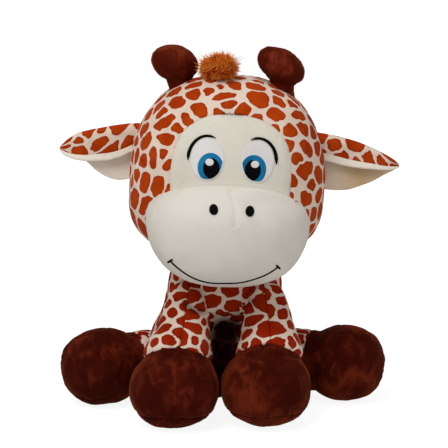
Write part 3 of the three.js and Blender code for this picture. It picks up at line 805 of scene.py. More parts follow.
class Leg:
    # one leg: its two forms, in a frame that its root joint and its hoof's middle give
    def __init__(self, kind, side, look, hoof, hoofAt, facing, soleAt):
        x, y, z = look["root"]
        self.kind, self.side = kind, side
        self.name = f"{kind}_{side}"
        self.body = f"{kind}_limb_{side}"
        self.look = look
        self.hoof = hoof
        self.root = np.array([sides[side] * x, y, z], float)
        self.hoofAt = np.array(hoofAt, float)
        self.axis = unit(self.hoofAt - self.root)
        self.profile = curveThrough(look["line"], 80)
        self.profile[:, 0] = np.maximum(self.profile[:, 0], 0)
        self.facing = unit(facing)
        self.soleAt = soleAt
        self.bow = np.array([sides[side] * look["bows"][side], 0, 0])
        self.straightField = turnedField(self.profile, self.root, self.axis)
        self.hoofField = ovalField({**hoof, "at": self.hoofAt})

    def bowed(self, points, way=1):
        # the leg stands a little to its side from the root to its ankle
        along = (points - self.root) @ self.axis
        return points + way * fading(along, limb["bowTo"])[..., None] * self.bow

    def limbField(self, points):
        # the straight leg's field, at the place that a point has before the leg is bowed
        return self.straightField(self.bowed(points, -1))

    def pinched(self, points):
        # how deep the cloth is drawn in along a short crease at the top of a front leg
        if self.kind == "hind":
            return 0.0 * points[..., 0]
        start, end = np.array(self.look["pinches"][self.side], float)
        flat = points[..., [0, 2]] - start
        share = np.clip(flat @ (end - start) / ((end - start) ** 2).sum(), 0, 1)
        away = lengthOf(flat - share[..., None] * (end - start))
        front = smooth01((self.root[1] - points[..., 1]) / self.look["pinchFade"])
        deep = self.look["pinchDepths"][self.side] * ridge(away, self.look["pinchWidth"])
        return deep * front * (1 - abs(2 * share - 1) ** 4)

    def toe(self, points):
        # how much further the hoof's cloth comes up the leg than where the forms cross: all round a hind
        # leg, and at the front of a front leg
        reach = self.look["toes"][self.side] + 0 * points[..., 0]
        if self.kind == "hind":
            return reach
        fade = self.look["toeFrom"]
        front = smooth01((self.root[1] - fade - points[..., 1]) / fade)
        return reach * ridge(points[..., 0] - self.hoofAt[0], self.look["toeWidth"]) * front

    def toHoof(self, points):
        # zero on the seam between leg and hoof, negative on the leg's side
        return self.limbField(points) - self.hoofField(points) + self.toe(points)


legs = []
for side, sign in sides.items():
    hoofX = sign * (forehoof["half"][0] + forehoof["between"] / 2)
    hoofAt = (hoofX, -forehoof["leads"][side], forehoof["half"][2] - restFlat)
    soleAt = hoofAt[2] - forehoof["soleAt"]
    legs.append(Leg("front", side, foreleg, forehoof, hoofAt, forehoof["facing"], soleAt))
    hoofX, hoofY = hindhoof["places"][side]
    hoofAt = (sign * hoofX, -hoofY, hindhoof["half"][2] - restFlat)
    outward, forward, up = hindhoof["facing"]
    facing = (sign * outward, forward, up)
    legs.append(Leg("hind", side, hindleg, hindhoof, hoofAt, facing, hindhoof["soleAt"]))


def makeBody():
    # the side's line turned round z, drawn in between the legs and settled onto their forms
    line = evenly(bodyProfile, body["rows"])
    grid = turnedGrid(line, (0, 0, 0), (0, 0, 1), (0, -1, 0), body["columns"])
    normals = normalsOf(grid)
    grid = grid - normals * hollowOf(grid)[..., None]
    grid = settled(grid, normals, bodyField, [(leg.limbField, *joins["limb"]) for leg in legs])
    height = grid[..., 2]
    angle = np.arctan2(grid[..., 0], -grid[..., 1])
    # gathers under the neck, running up and down
    look = body["gathers"]
    gather = np.sin(angle * look["folds"] + look["uneven"] * np.sin(angle * look["waves"])) * look["height"]
    gather = gather * ridge(height - look["at"], look["reach"])
    relief = (lumpy(grid, body["lumps"], 11) + gather) * fading(height, body["lumpsFrom"])
    seam = np.abs(np.abs(angle) - math.pi) * lengthOf(grid[..., :2])
    grid = grid + normals * (relief - groove(seam, body["seam"]))[..., None]
    lift = seatLift(grid)
    up = lift * ridge(np.maximum(grid[..., 2] - lift, 0), hollow["liftReach"])
    grid[..., 2] = np.maximum(grid[..., 2], body["floorGap"]) + up
    panels = np.where(np.abs(angle) > math.pi / 2, np.where(angle > 0, 1, 2), 0)
    # painted shade: the cloth is darkened in the hollow between the front legs, where shade falls
    gain, start = hollow["dark"]
    fold = np.clip(hollowOf(grid) / hollow["deep"] * gain - start, 0, 1) * (grid[..., 1] < 0)
    values = {"spot": spotEdge(grid, panels, **body["spots"]), "seam": seam, "fold": fold}
    piece = makePiece("plush_body", swayed(grid), cloths["shadedSpotted"], values)
    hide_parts("body_skin", "body_stuffing")
    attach(piece, "torso")


def makeSeat():
    # the seat's own panel, sewn in: rings from its middle out to a low puffed edge, which turns up
    share = np.linspace(0.04, 1, seat["rings"])
    line = np.vstack([np.stack([share, seat["level"] + seat["puff"] * share**8], -1), seat["edge"]])
    line[:, 0] *= seat["radius"]
    grid = turnedGrid(line, (0, 0, 0), (0, 0, 1), (0, -1, 0), seat["columns"])
    grid[..., 2] += seatLift(grid)
    values = {"spot": spotEdge(grid, 0, **seat["spots"]), "seam": seat["radius"] - lengthOf(grid[..., :2])}
    piece = makePiece("plush_seat", grid, cloths["shadedSpotted"], values)
    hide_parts("seat_panel")
    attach(piece, "torso")


def makeLeg(leg, seed):
    # rows from inside the body, round the root's ball and down to inside the hoof
    columns = leg.look["columns"]
    turn = np.linspace(0.06, math.pi / 2, 22)[:-1]
    ball = leg.profile[0, 0] * np.stack([np.sin(turn), -np.cos(turn)], -1)
    line = evenly(np.vstack([ball, leg.profile[:-2]]), limb["rows"])
    grid = leg.bowed(turnedGrid(line, leg.root, leg.axis, leg.look["front"], columns))
    normals = normalsOf(grid)
    near = [(bodyField, *joins["limb"]), (leg.hoofField, *joins["hoof"], leg.toe)]
    grid = settled(grid, normals, leg.limbField, near)
    angle = turnSteps(columns)
    angle = np.minimum(angle, 2 * math.pi - angle)
    seam = np.minimum(angle, math.pi - angle) * line[:, 0, None]
    toHoof = leg.toHoof(grid)
    toBody = leg.limbField(grid) - bodyField(grid)
    lumps = lumpy(grid, limb["lumps"], seed) * smooth01(np.abs(toHoof) / limb["lumpsFade"])
    pucker = puckered(grid, toHoof, limb["hoofGathers"], limb["gatherSeed"])
    pucker = pucker + puckered(grid, toBody, limb["bodyGathers"], limb["gatherSeed"])
    pucker = pucker + puckered(grid, seam, limb["seamGathers"], seed + 3)
    grid = grid + normals * (lumps + pucker - groove(seam, limb["seam"]))[..., None]
    fold = leg.pinched(grid)
    grid = onFloor(grid - normals * fold[..., None], soft=1.5)
    values = {
        "spot": spotEdge(grid, np.arange(columns) < columns // 2, seed=seed + 5, **limb["spots"]),
        "seam": np.minimum(seam, abs(toHoof)),
        # painted shade in the crease at the top of a front leg
        "fold": np.clip(fold / foreleg["pinchShadeDepth"], 0, 1),
    }
    piece = makePiece(f"plush_leg_{leg.name}", swayed(grid), cloths["shadedSpotted"], values)
    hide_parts(f"{leg.kind}_leg_{leg.side}")
    end = leg.root + leg.axis * leg.look["blendTo"]
    end * mm
    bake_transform(piece)


def sliced(leg, heights):
    # rings of a hoof's surface across its sole's axis: along each ray the radius is halved in on
    axis, first, second = spread(leg.facing, leg.hoof["first"])
    angle = turnSteps(hoofCloth["columns"])
    ray = around(angle, first, second)
    middle = leg.hoofAt + heights[:, None] * axis
    low = np.zeros((len(heights), len(angle)))
    high = np.full_like(low, hoofCloth["furthest"])
    for _ in range(26):
        half = (low + high) / 2
        inside = leg.hoofField(middle[:, None] + half[..., None] * ray) < 0
        low, high = np.where(inside, half, low), np.where(inside, high, half)
    return middle[:, None] + low[..., None] * ray, angle


def makeHoof(leg, seed):
    # two pieces that meet in the sole's seam: rings from the back of the hoof to it, and on to the front
    steps = np.linspace(0, hoofCloth["furthest"], 1800)[:, None]
    rays = [leg.hoofAt + way * steps * leg.facing for way in (-1, 1)]
    back, front = [steps[leg.hoofField(ray) < 0][-1, 0] for ray in rays]

    def dressed(heights):
        # the rings settled onto the leg's form, with lumps, gathers and seams
        grid, angle = sliced(leg, heights)
        normals = fieldNormals(leg.hoofField, grid)
        near = [(leg.limbField, *joins["hoof"], lambda points: -leg.toe(points))]
        grid = settled(grid, normals, leg.hoofField, near, hoofCloth["reach"])
        toSole = np.abs(heights - leg.soleAt)[:, None] + 0 * grid[..., 0]
        toLeg = np.abs(leg.toHoof(grid))
        toMiddle = np.minimum(angle, 2 * math.pi - angle) * np.maximum(lengthOf(grid - leg.hoofAt), 1)
        lumps = lumpy(grid, hoofCloth["lumps"], seed) * smooth01(toLeg / limb["lumpsFade"])
        pucker = puckered(grid, toLeg, limb["hoofGathers"], limb["gatherSeed"])
        pucker = pucker + puckered(grid, toSole, hoofCloth["soleGathers"], seed + 2)
        depth, width = hoofCloth["soleSeam"]
        grooves = groove(toSole, (depth - leg.hoof["sunk"], width))
        grooves = grooves + groove(toMiddle, hoofCloth["middleSeam"])
        grid = grid + normals * (lumps + pucker - grooves)[..., None]
        seam = np.minimum(np.minimum(toSole + leg.hoof["sunk"], toLeg), toMiddle + 0.5)
        return swayed(onFloor(grid, soft=1.2)), seam

    def tucked(ring, way):
        # the cut edge turns in, so the seam is closed
        middle = leg.hoofAt + leg.facing * leg.soleAt
        return (ring + (middle - ring) * hoofCloth["turnedIn"] + way * hoofCloth["tuck"] * leg.facing)[None]

    heights = -back * np.cos(np.linspace(0.03, math.pi / 2, 62))
    hoof, hoofSeam = dressed(np.concatenate([heights, np.linspace(heights[-1], leg.soleAt, 30)[1:]]))
    turn = np.linspace(0, math.pi / 2 - 0.03, 40)
    sole, soleSeam = dressed(leg.soleAt + (front - leg.soleAt) * np.sin(turn))
    parts = {
        "hoof": (np.concatenate([hoof, tucked(hoof[-1], -1)]), np.vstack([hoofSeam, hoofSeam[-1:]])),
        "sole": (np.concatenate([tucked(sole[0], 1), sole]), np.vstack([soleSeam[:1], soleSeam])),
    }
    for part, (grid, seam) in parts.items():
        piece = makePiece(f"plush_{part}_{leg.name}", grid, cloths["brown"], {"seam": seam})
        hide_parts(f"{leg.kind}_{part}_{leg.side}")
        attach(piece, leg.body)


makeBody()
makeSeat()
for number, leg in enumerate(legs):
    makeLeg(leg, 400 + 20 * number)
    makeHoof(leg, 500 + 20 * number)
print("body and legs made")


# The head is worked out before it turns and leans about the neck joint: rise is above that joint.

head = {
    "joint": (0.0, 0.0, 125.0),
    "turn": 2.5,
    "lean": 3.0,
    "rows": 210,
    "columns": 400,
    "skull": {"half": (107, 95, 128), "low": 76, "at": (0, -10, 110), "power": 2.4},
    "lumps": [(70, 1.2), (26, 0.35)],
    "earSeamAt": -2.0,  # the seam over the crown from ear to ear is this far ahead of the neck
    "front": (-30, -20),  # where the cloth begins to go under the face panel
    "dip": (1.6, -3.6),  # how near the panel's outline it goes down, and over what length
    "lip": (0.3, 3),
    "lipAt": 2,
    "seamRipple": (8, 0.5),
    "seamReaches": (7, 6),
    "overSeam": (1.1, 1.9),
    "backSeam": (1.0, 1.9),
    "faceGathers": (7, 0.45, 8),
    "spots": {"spacing": 19.8, "gap": 2.4, "seed": 331, "squeeze": (1, 1, 1.12)},
}
muzzle = {
    "form": {"half": (85, 62, 44), "low": 68, "at": (0, -83, 87), "power": 2.2},
    "rows": 150,
    "columns": 300,
    "lumps": [(75, 1.1), (28, 0.3)],
    "lumpSeed": 31,
    "gathers": (8, 0.45, 8),
    "dart": {"groove": (1.3, 2.4), "bend": 4, "bendAt": 80, "bendOver": 14, "end": (92, -16), "front": -60},
    "slack": {"at": (-38, 78), "reach": 22, "height": 0.22, "way": (0.8, 0.55), "waver": 6, "pitch": 4.2},
}
face = {
    "halfWidth": 63.0,
    "crown": 64.0,
    "chin": 70.0,
    "rise": 137.0,
    "power": 2.5,
    "middleToEdge": 62,
    "puff": 0.9,
    "puffFade": 9,
    "seam": (0.8, 1.6),
    "gathers": (7.5, 0.4, 7),
    "sunk": 3.0,  # how far the head's cloth lies under the panel
    "rows": 76,
    "columns": 240,
}
skullField = ovalField(head["skull"])
muzzleField = ovalField(muzzle["form"])


def turned(degrees, fixed):
    # the turn about one axis by this many degrees: cosines and sines in the other two
    c, s = math.cos(math.radians(degrees)), math.sin(math.radians(degrees))
    turns = {"y": [[c, 0, s], [0, 1, 0], [-s, 0, c]], "z": [[c, -s, 0], [s, c, 0], [0, 0, 1]]}
    return np.array(turns[fixed])


headTurn = turned(head["lean"], "y") @ turned(head["turn"], "z")


def posed(points):
    # from the head's own place to the turned and leaned head on the body
    return points @ headTurn.T + np.array(head["joint"])


def faceShare(points):
    # 1 on the face's outline, a squared oval, and less inside it
    x = points[..., 0] / face["halfWidth"]
    rise = points[..., 2] - face["rise"]
    z = rise / np.where(rise < 0, face["chin"], face["crown"])
    return (abs(x) ** face["power"] + abs(z) ** face["power"]) ** (1 / face["power"])


def skullSkin(points):
    # points of the skull's form, drawn out to the muzzle beside it, with the stuffing's soft lumps
    normals = fieldNormals(skullField, points)
    points = settled(points, normals, skullField, [(muzzleField, *joins["muzzle"])])
    return points + normals * lumpy(points, head["lumps"], 21)[..., None], normals


def makeHead():
    # the skull's oval, with its cloth drawn in under the face panel's edge
    base = ovalGrid(head["skull"], head["rows"], head["columns"])
    grid, normals = skullSkin(base)
    inFront = fading(base[..., 1], head["front"])
    toFace = (faceShare(base) - 1) * face["middleToEdge"]
    dip = (fading(toFace, head["dip"]) * face["sunk"] + groove(toFace - head["lipAt"], head["lip"])) * inFront
    # seams: over the crown from ear to ear, and down the middle of the back
    over = np.abs(base[..., 1] - head["earSeamAt"])
    behind = np.where(base[..., 1] > 0, np.abs(base[..., 0]), 99.0)
    size, height = head["seamRipple"]
    overReach, backReach = head["seamReaches"]
    near = np.maximum(ridge(over, overReach), ridge(behind, backReach))
    pucker = ripple(grid, size, 23) * height * near
    pucker += puckered(grid, toFace, head["faceGathers"], 24) * inFront
    grooves = groove(over, head["overSeam"]) + groove(behind, head["backSeam"])
    grid = grid + normals * (pucker - grooves - dip)[..., None]
    panels = np.where(base[..., 1] < head["earSeamAt"], 0, np.where(base[..., 0] > 0, 1, 2))
    toFaceSeam = np.where(inFront > 0.5, np.abs(toFace) + 0.7, 99)
    values = {
        "spot": spotEdge(grid, panels, **head["spots"]),
        "seam": np.minimum(np.minimum(over, behind), toFaceSeam),
    }
    piece = makePiece("plush_head", posed(grid), cloths["spotted"], values)
    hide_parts("head_skin", "head_stuffing")
    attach(piece, "head")


def makeFace():
    # rings from the face's middle to its outline, then in under the cloth
    share = np.concatenate([np.linspace(0.012, 1, face["rows"]), [1.0, 0.985]])
    angle = turnSteps(face["columns"])
    c, s = np.cos(angle), np.sin(angle)
    x = face["halfWidth"] * np.sign(c) * abs(c) ** (2 / face["power"])
    z = np.where(s < 0, face["chin"], face["crown"]) * np.sign(s) * abs(s) ** (2 / face["power"])
    base = frontOf(head["skull"], share[:, None] * x, face["rise"] + share[:, None] * z)
    grid, normals = skullSkin(base)
    inward = (1 - share[:, None]) * face["middleToEdge"] + 0 * x
    puff = face["puff"] * smooth01(inward / face["puffFade"]) - groove(inward, face["seam"])
    puff += puckered(grid, inward, face["gathers"], 25)
    puff[-1] -= face["sunk"]
    grid = grid + normals * puff[..., None]
    toMuzzle = np.abs(muzzleField(grid) - skullField(grid))
    values = {"seam": np.minimum(inward, toMuzzle)}
    piece = makePiece("plush_face", posed(grid), cloths["face"], values)
    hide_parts("face_panel")
    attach(piece, "head")


def makeMuzzle():
    # the muzzle's oval settled onto the skull, with a dart, and slack where it was pressed
    base = ovalGrid(muzzle["form"], muzzle["rows"], muzzle["columns"])
    normals = fieldNormals(muzzleField, base)
    grid = settled(base, normals, muzzleField, [(skullField, *joins["muzzle"])])
    x, y, z = grid[..., 0], grid[..., 1], grid[..., 2]
    toSkull = np.abs(skullField(grid) - muzzleField(grid))
    relief = lumpy(grid, muzzle["lumps"], muzzle["lumpSeed"]) + puckered(grid, toSkull, muzzle["gathers"], 33)
    # the short middle dart, bent a little, from the muzzle's top down to the nose
    look = muzzle["dart"]
    dart = np.abs(x - look["bend"] * np.sin((z - look["bendAt"]) / look["bendOver"]))
    dart = dart + 90 * fading(z, look["end"]) + 60 * (y > look["front"])
    relief = relief - groove(dart, look["groove"])
    # fine slack creases on its right cheek
    look = muzzle["slack"]
    run = x * look["way"][0] + z * look["way"][1] + look["waver"] * ripple(grid, 60, 34)
    away = lengthOf(grid[..., [0, 2]] - np.array(look["at"])) / look["reach"]
    relief = relief + look["height"] * (np.sin(run / look["pitch"]) * ridge(away, 1))
    values = {"seam": np.minimum(toSkull, dart + 1.0)}
    grid = grid + normals * relief[..., None]
    piece = makePiece("plush_muzzle", posed(grid), cloths["muzzle"], values)
    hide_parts("muzzle_skin")
    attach(piece, "head")


makeHead()
makeFace()
makeMuzzle()
print("head made")


eye = {"across": 25.8, "rise": 154.3, "half": (17.3, 21.5), "height": 1.0, "thread": "white", "rim": 1.5}
iris = {"across": 22.0, "rise": 146.5, "half": (13.4, 15.0), "height": 1.35, "thread": "blue"}
pupil = {"across": 21.2, "rise": 145.7, "half": (8.6, 10.7), "height": 1.65, "thread": "black"}
glint = {"across": 23.2, "rise": 151.8, "half": (4.3, 3.7), "height": 1.95, "thread": "white"}
nostril = {"across": 18.2, "rise": 108.0, "half": (4.4, 4.9), "height": 1.5, "thread": "black"}
brow = {"from": -4, "to": 113, "off": 0.35, "width": 3.8, "taper": 2.2, "height": 1.7, "points": 60}
smile = {
    "across": -4.0,
    "halfWidth": 55.0,
    "endRise": 50.5,
    "midRise": 28.0,
    "power": 2.2,
    "width": 1.5,
    "height": 1.0,
    "points": 160,
    "tick": {"length": 4.6, "width": 2.2, "height": 1.4, "points": 24},
}
stitches = {
    "from": -13.0,
    "to": 10.0,
    "count": 9,
    "width": 0.8,
    "height": 0.9,
    "share": 0.62,
    "points": 10,
    "sink": 0.2,
    "stagger": 0.5,
}
patchEdge = [(0.95, 0.93), (0.98, 0.78), (1.0, 0.45)]  # a patch's shares of its reach and of its height
patchBase = 0.6  # how far it goes into the cloth, where it ends at nine tenths of its reach
outlinePoints = 96


def faceSkin(x, rise):
    # the face panel's surface and its way out
    points, normals = skullSkin(frontOf(head["skull"], x, rise))
    return points + normals * face["puff"], normals


def muzzleSkin(x, rise):
    # the muzzle's surface and its way out
    points = frontOf(muzzle["form"], x, rise)
    normals = fieldNormals(muzzleField, points)
    return points + normals * lumpy(points, muzzle["lumps"], muzzle["lumpSeed"])[..., None], normals


def ovalReach(half, angle, fromX=0.0, fromZ=0.0):
    # how far an oval's outline is along each angle, from a point inside it: the root of a square
    a, b = half
    dx, dz = np.cos(angle) / a, np.sin(angle) / b
    px, pz = fromX / a, fromZ / b
    square = dx * dx + dz * dz
    along = px * dx + pz * dz
    return (-along + np.sqrt(along * along - square * (px * px + pz * pz - 1))) / square


def makePatch(name, skin, sign, patch, reach):
    # a raised patch: rings from its middle to its outline, rounded over its edge and closed beneath
    angle = turnSteps(len(reach))
    edgeShare, edgeLevel = np.array(patchEdge).T
    share = np.concatenate([np.linspace(0.05, 0.9, 9), edgeShare, [1.0, 0.9]])
    level = np.concatenate([np.full(9, 1.0), edgeLevel]) * patch["height"]
    level = np.concatenate([level, [-patchBase, -patchBase]])
    x = sign * patch["across"] + share[:, None] * reach * np.cos(angle)
    z = patch["rise"] + share[:, None] * reach * np.sin(angle)
    points, normals = skin(x, z)
    grid = points + normals * level[:, None, None]
    thread = patch["thread"]
    piece = makePiece(name, posed(grid), cloths[thread])
    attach(piece, "head")
    return piece


def makeLine(name, skin, line, widths, height):
    # a stitched line: an oval section carried along the line on the cloth
    along = unit(np.gradient(line, axis=0))
    aside = np.stack([-along[:, 1], along[:, 0]], -1)
    angle = turnSteps(14)
    reach = np.cos(angle) * widths[:, None] / 2
    x = line[:, 0, None] + aside[:, 0, None] * reach
    z = line[:, 1, None] + aside[:, 1, None] * reach
    points, normals = skin(x, z)
    lift = np.sin(angle) * height
    grid = points + normals * np.where(lift < 0, lift * 0.6, lift)[None, :, None]
    piece = makePiece(name, posed(grid), cloths["black"])
    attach(piece, "head")
    return piece


def makeStitches():
    # a short run of dark stitches where the face panel's top edge meets the head
    step = (stitches["to"] - stitches["from"]) / stitches["count"]
    for number in range(stitches["count"]):
        x = stitches["from"] + step * (number + np.linspace(0, stitches["share"], stitches["points"]))
        crown = face["crown"] * ovalArc(x / face["halfWidth"], face["power"])
        rise = face["rise"] + crown - stitches["sink"] + stitches["stagger"] * (number % 2)
        widths = np.full(stitches["points"], stitches["width"])
        makeLine(f"plush_stitch_{number}", faceSkin, np.stack([x, rise], -1), widths, stitches["height"])


def makeEye(side, sign):
    # the white, and on it the iris and the pupil cut off at its rim, then the glint
    angle = turnSteps(outlinePoints)
    inner = (eye["half"][0] - eye["rim"], eye["half"][1] - eye["rim"])
    rings = {
        "eye_white": ("plush_eye_white", eye),
        "iris": ("plush_iris", iris),
        "pupil": ("plush_pupil", pupil),
        "eye_glint": ("plush_glint", glint),
    }
    for node, (name, patch) in rings.items():
        reach = ovalReach(patch["half"], angle)
        if patch in (iris, pupil):
            dx, dz = sign * (patch["across"] - eye["across"]), patch["rise"] - eye["rise"]
            reach = np.minimum(reach, ovalReach(inner, angle, dx, dz))
        piece = makePatch(f"{name}_{side}", faceSkin, sign, patch, reach)
        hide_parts(f"{node}_{side}")


def makeBrow(side, sign):
    # round the eye from its outer corner, thinner towards its inner end
    turn = np.radians(np.linspace(brow["from"], brow["to"], brow["points"]))
    offset = brow["off"] + brow["width"] / 2
    x = sign * (eye["across"] + (eye["half"][0] + offset) * np.cos(turn))
    z = eye["rise"] + (eye["half"][1] + offset) * np.sin(turn)
    t = np.linspace(0, 1, brow["points"])
    ends = np.minimum(1, 7 * np.minimum(t + 0.03, 1.03 - t))
    widths = (brow["width"] + (brow["taper"] - brow["width"]) * t) * ends
    piece = makeLine(f"plush_brow_{side}", faceSkin, np.stack([x, z], -1), widths, brow["height"])
    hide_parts(f"brow_{side}")


def makeSmile():
    # a flat-bottomed curve, the height as a power of the distance from its middle, with a tick at each end
    t = np.linspace(-1, 1, smile["points"])
    rise = smile["midRise"] + (smile["endRise"] - smile["midRise"]) * abs(t) ** smile["power"]
    line = np.stack([smile["across"] + smile["halfWidth"] * t, rise], -1)
    widths = np.full(smile["points"], smile["width"])
    piece = makeLine("plush_smile", muzzleSkin, line, widths, smile["height"])
    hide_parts("smile_stitch")
    tick = smile["tick"]
    for side, sign in sides.items():
        t = np.linspace(-1, 1, tick["points"])
        reach = tick["length"] / 2
        middle = smile["across"] + sign * smile["halfWidth"]
        line = np.stack([middle - sign * reach * t, smile["endRise"] + reach * t], -1)
        widths = tick["width"] * np.minimum(1, 5 * np.minimum(t + 1.08, 1.08 - t))
        makeLine(f"plush_smile_end_{side}", muzzleSkin, line, widths, tick["height"])


for side, sign in sides.items():
    makeEye(side, sign)
    reach = ovalReach(nostril["half"], turnSteps(outlinePoints))
    piece = makePatch(f"plush_nostril_{side}", muzzleSkin, sign, nostril, reach)
    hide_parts(f"nostril_{side}")
    makeBrow(side, sign)
makeSmile()
makeStitches()
print("embroidery made")


horn = {
    "across": 55.0,
    "lead": 14.0,
    "sink": 4.0,
    "start": -12.0,
    "stem": 13.6,
    "stemTo": (30, -12),
    "neckSoft": 5.0,
    "softTo": (34, -10),
    "knobRadii": {"right": 25.2, "left": 26.6},
    "knobPlaces": {"right": 26.6, "left": 27.6},
    "knobHalves": {"right": 20.2, "left": 19.4},
    "knobPower": 2.0,
    "capAt": 41.4,
    "leans": {"right": 18, "left": -8},
    "rises": {"right": 18, "left": -5},
    "riseFrom": (4, 12),
    "knobLeans": {"right": 6, "left": 12},
    "rows": 96,
    "columns": 110,
    "lumps": [(30, 0.8), (12, 0.35)],
    "neckGathers": (9, 0.9, 6),
    "neckAt": 9,
    "capGathers": (5, 0.35, 4),
    "capSeam": (0.4, 1.5),
    "sideSeam": (0.4, 1.6),
    "turnedIn": 0.1,
}


def hornProfile(side):
    # radius by distance along the horn: an oval knob in a soft union with its stem
    half, at = horn["knobHalves"][side], horn["knobPlaces"][side]
    along = np.concatenate([np.linspace(horn["start"], 8, 40), np.linspace(8, at + half, 500)[1:]])
    share = 1 - np.abs((along - at) / half) ** horn["knobPower"]
    knob = horn["knobRadii"][side] * np.maximum(share, 0) ** (1 / horn["knobPower"])
    stem = horn["stem"] * fading(along, horn["stemTo"])
    radius = -softMin(-knob, -stem, horn["neckSoft"] * fading(along, horn["softTo"]) + 0.01)
    return evenly(np.stack([np.maximum(radius, 0.3), along], -1), horn["rows"])


def makeHorn(side, seed):
    # rings of the profile's radii on a path of two slopes, cut in two at the cap's seam
    sign = sides[side]
    skull = head["skull"]
    a, _, c = skull["half"]
    surface = skull["at"][2] + c * ovalArc(horn["across"] / a, skull["power"])
    root = np.array([sign * horn["across"], -horn["lead"], surface - horn["sink"]])
    line = hornProfile(side)
    radius, along = line[:, 0, None], line[:, 1]
    # the stem leans one way and its knob another, as the soft stem has bent: the rings keep the knob's
    # lean, and the line of their middles rises its own way
    stem, rise, knob = [math.radians(horn[kind][side]) for kind in ("leans", "rises", "knobLeans")]
    lean = stem + (rise - stem) * fading(along, horn["riseFrom"])
    steps = np.concatenate([[horn["start"]], np.diff(along)])[:, None]
    path = root + np.cumsum(steps * np.stack([sign * np.sin(lean), 0 * lean, np.cos(lean)], -1), 0)
    angle = turnSteps(horn["columns"])
    out = np.array([sign * np.cos(knob), 0, -np.sin(knob)])
    ring = around(angle, out, np.array([0, -sign, 0.0]))
    grid = path[:, None] + radius[..., None] * ring
    normals = normalsOf(grid)
    toCap = np.abs(along - horn["capAt"])[:, None] + 0 * grid[..., 0]
    aside = np.minimum(np.abs(angle - math.pi), np.minimum(angle, 2 * math.pi - angle)) * radius
    relief = lumpy(grid, horn["lumps"], seed)
    relief = relief + puckered(grid, along[:, None] - horn["neckAt"], horn["neckGathers"], seed + 2)
    relief = relief + puckered(grid, toCap, horn["capGathers"], seed + 3)
    relief = relief - groove(toCap, horn["capSeam"]) - groove(aside, horn["sideSeam"])
    grid = grid + normals * relief[..., None]
    seam = np.minimum(toCap + 0.6, aside + 0.5)
    cut = int(np.argmin(np.abs(along - horn["capAt"])))
    turnedIn = (grid[cut] * (1 - horn["turnedIn"]) + grid[cut].mean(0) * horn["turnedIn"])[None]
    below, above = slice(None, cut + 1), slice(cut, None)
    parts = {
        "horn": (np.concatenate([grid[below], turnedIn]), np.vstack([seam[below], seam[cut]])),
        "horn_cap": (np.concatenate([turnedIn, grid[above]]), np.vstack([seam[cut], seam[above]])),
    }
    for node, (part, values) in parts.items():
        name = f"plush_{node}_{side}"
        piece = makePiece(name, posed(part), cloths["hornBrown"], {"seam": values})
        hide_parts(f"{node}_{side}")
        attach(piece, f"horn_{side}")


for side in sides:
    makeHorn(side, 610 if side == "right" else 640)
print("horns made")


ear = {
    "start": -5.0,
    "lengths": {"right": 80.0, "left": 86.0},
    "halfHeight": 30.0,
    "foldRadius": 7.0,
    "cloth": 2.4,
    "thinning": 0.25,
    "rim": 6.5,
    "tip": 0.08,  # the share of its length that the round tip takes
    "bow": 3.0,
    "lead": 2.0,
    "rise": 148.5,
    "rootHalfLength": 23.0,
    "blendTo": 26.0,
    "stations": 64,
    "steps": 90,
    "waves": [(34, 0.9), (13, 0.3)],
    "flapFrom": (0.62, 0.38),
    # painted shade under each ear's fold: little on the right ear, strong on the left
    "deep": {"right": 0.1, "left": 0.95},
    "shadeFrom": (0.8, 0.08),
    "shadeAlong": ([0, 0.23, 0.37, 0.51, 0.65, 1], [0.3, 0.5, 0.8, 1.0, 0.85, 0.6]),
    "spacing": {"right": 18.0, "left": 17.5},
    "gap": 1.7,
    # at even stations from root to tip, as shares of the half height: the top, the back's lower edge and
    # the flap's lower edge, and the fold's radius as a share of its own
    "tops": {
        "right": [0.97, 0.95, 0.875, 0.77, 0.66, 0.49, 0.08],
        "left": [0.95, 0.9, 0.82, 0.7, 0.53, 0.3, 0.02],
    },
    "lows": {
        "right": [-0.95, -1.06, -0.97, -0.72, -0.38, -0.28, -0.1],
        "left": [-1.03, -1.07, -1.04, -0.88, -0.67, -0.38, -0.13],
    },
    "flaps": {
        "right": [0.22, -0.08, -0.27, -0.33, -0.35, -0.3, -0.1],
        "left": [0.1, 0.02, -0.09, -0.15, -0.17, -0.18, -0.12],
    },
    "folds": [1, 1, 0.95, 0.86, 0.74, 0.6, 0.46],
}


def earShape(side, stations):
    # at each station of the ear's length: how high its top and its two lower edges are, and its fold's radius
    shares = [ear["tops"][side], ear["lows"][side], ear["flaps"][side], ear["folds"]]
    curve = curveThrough(np.array(shares).T, 200)
    at = np.linspace(0, 1, len(curve))
    top, low, flap, fold = [np.interp(stations, at, curve[:, k]) for k in range(4)]
    fold = fold * ear["foldRadius"]
    top = top * ear["halfHeight"] - fold
    low = np.minimum(low * ear["halfHeight"], top - fold / 2)
    flap = np.minimum(flap * ear["halfHeight"], top - fold / 2)
    # the tip is round: every height closes on the leaf's middle there, as a quarter of an oval does
    share = np.sqrt(np.clip(1 - np.maximum(stations - 1 + ear["tip"], 0) ** 2 / ear["tip"] ** 2, 0.02, 1))
    middle = (top + fold + low) / 2
    top, low, flap = [middle + (edge - middle) * share for edge in (top, low, flap)]
    return top, low, flap, fold * share


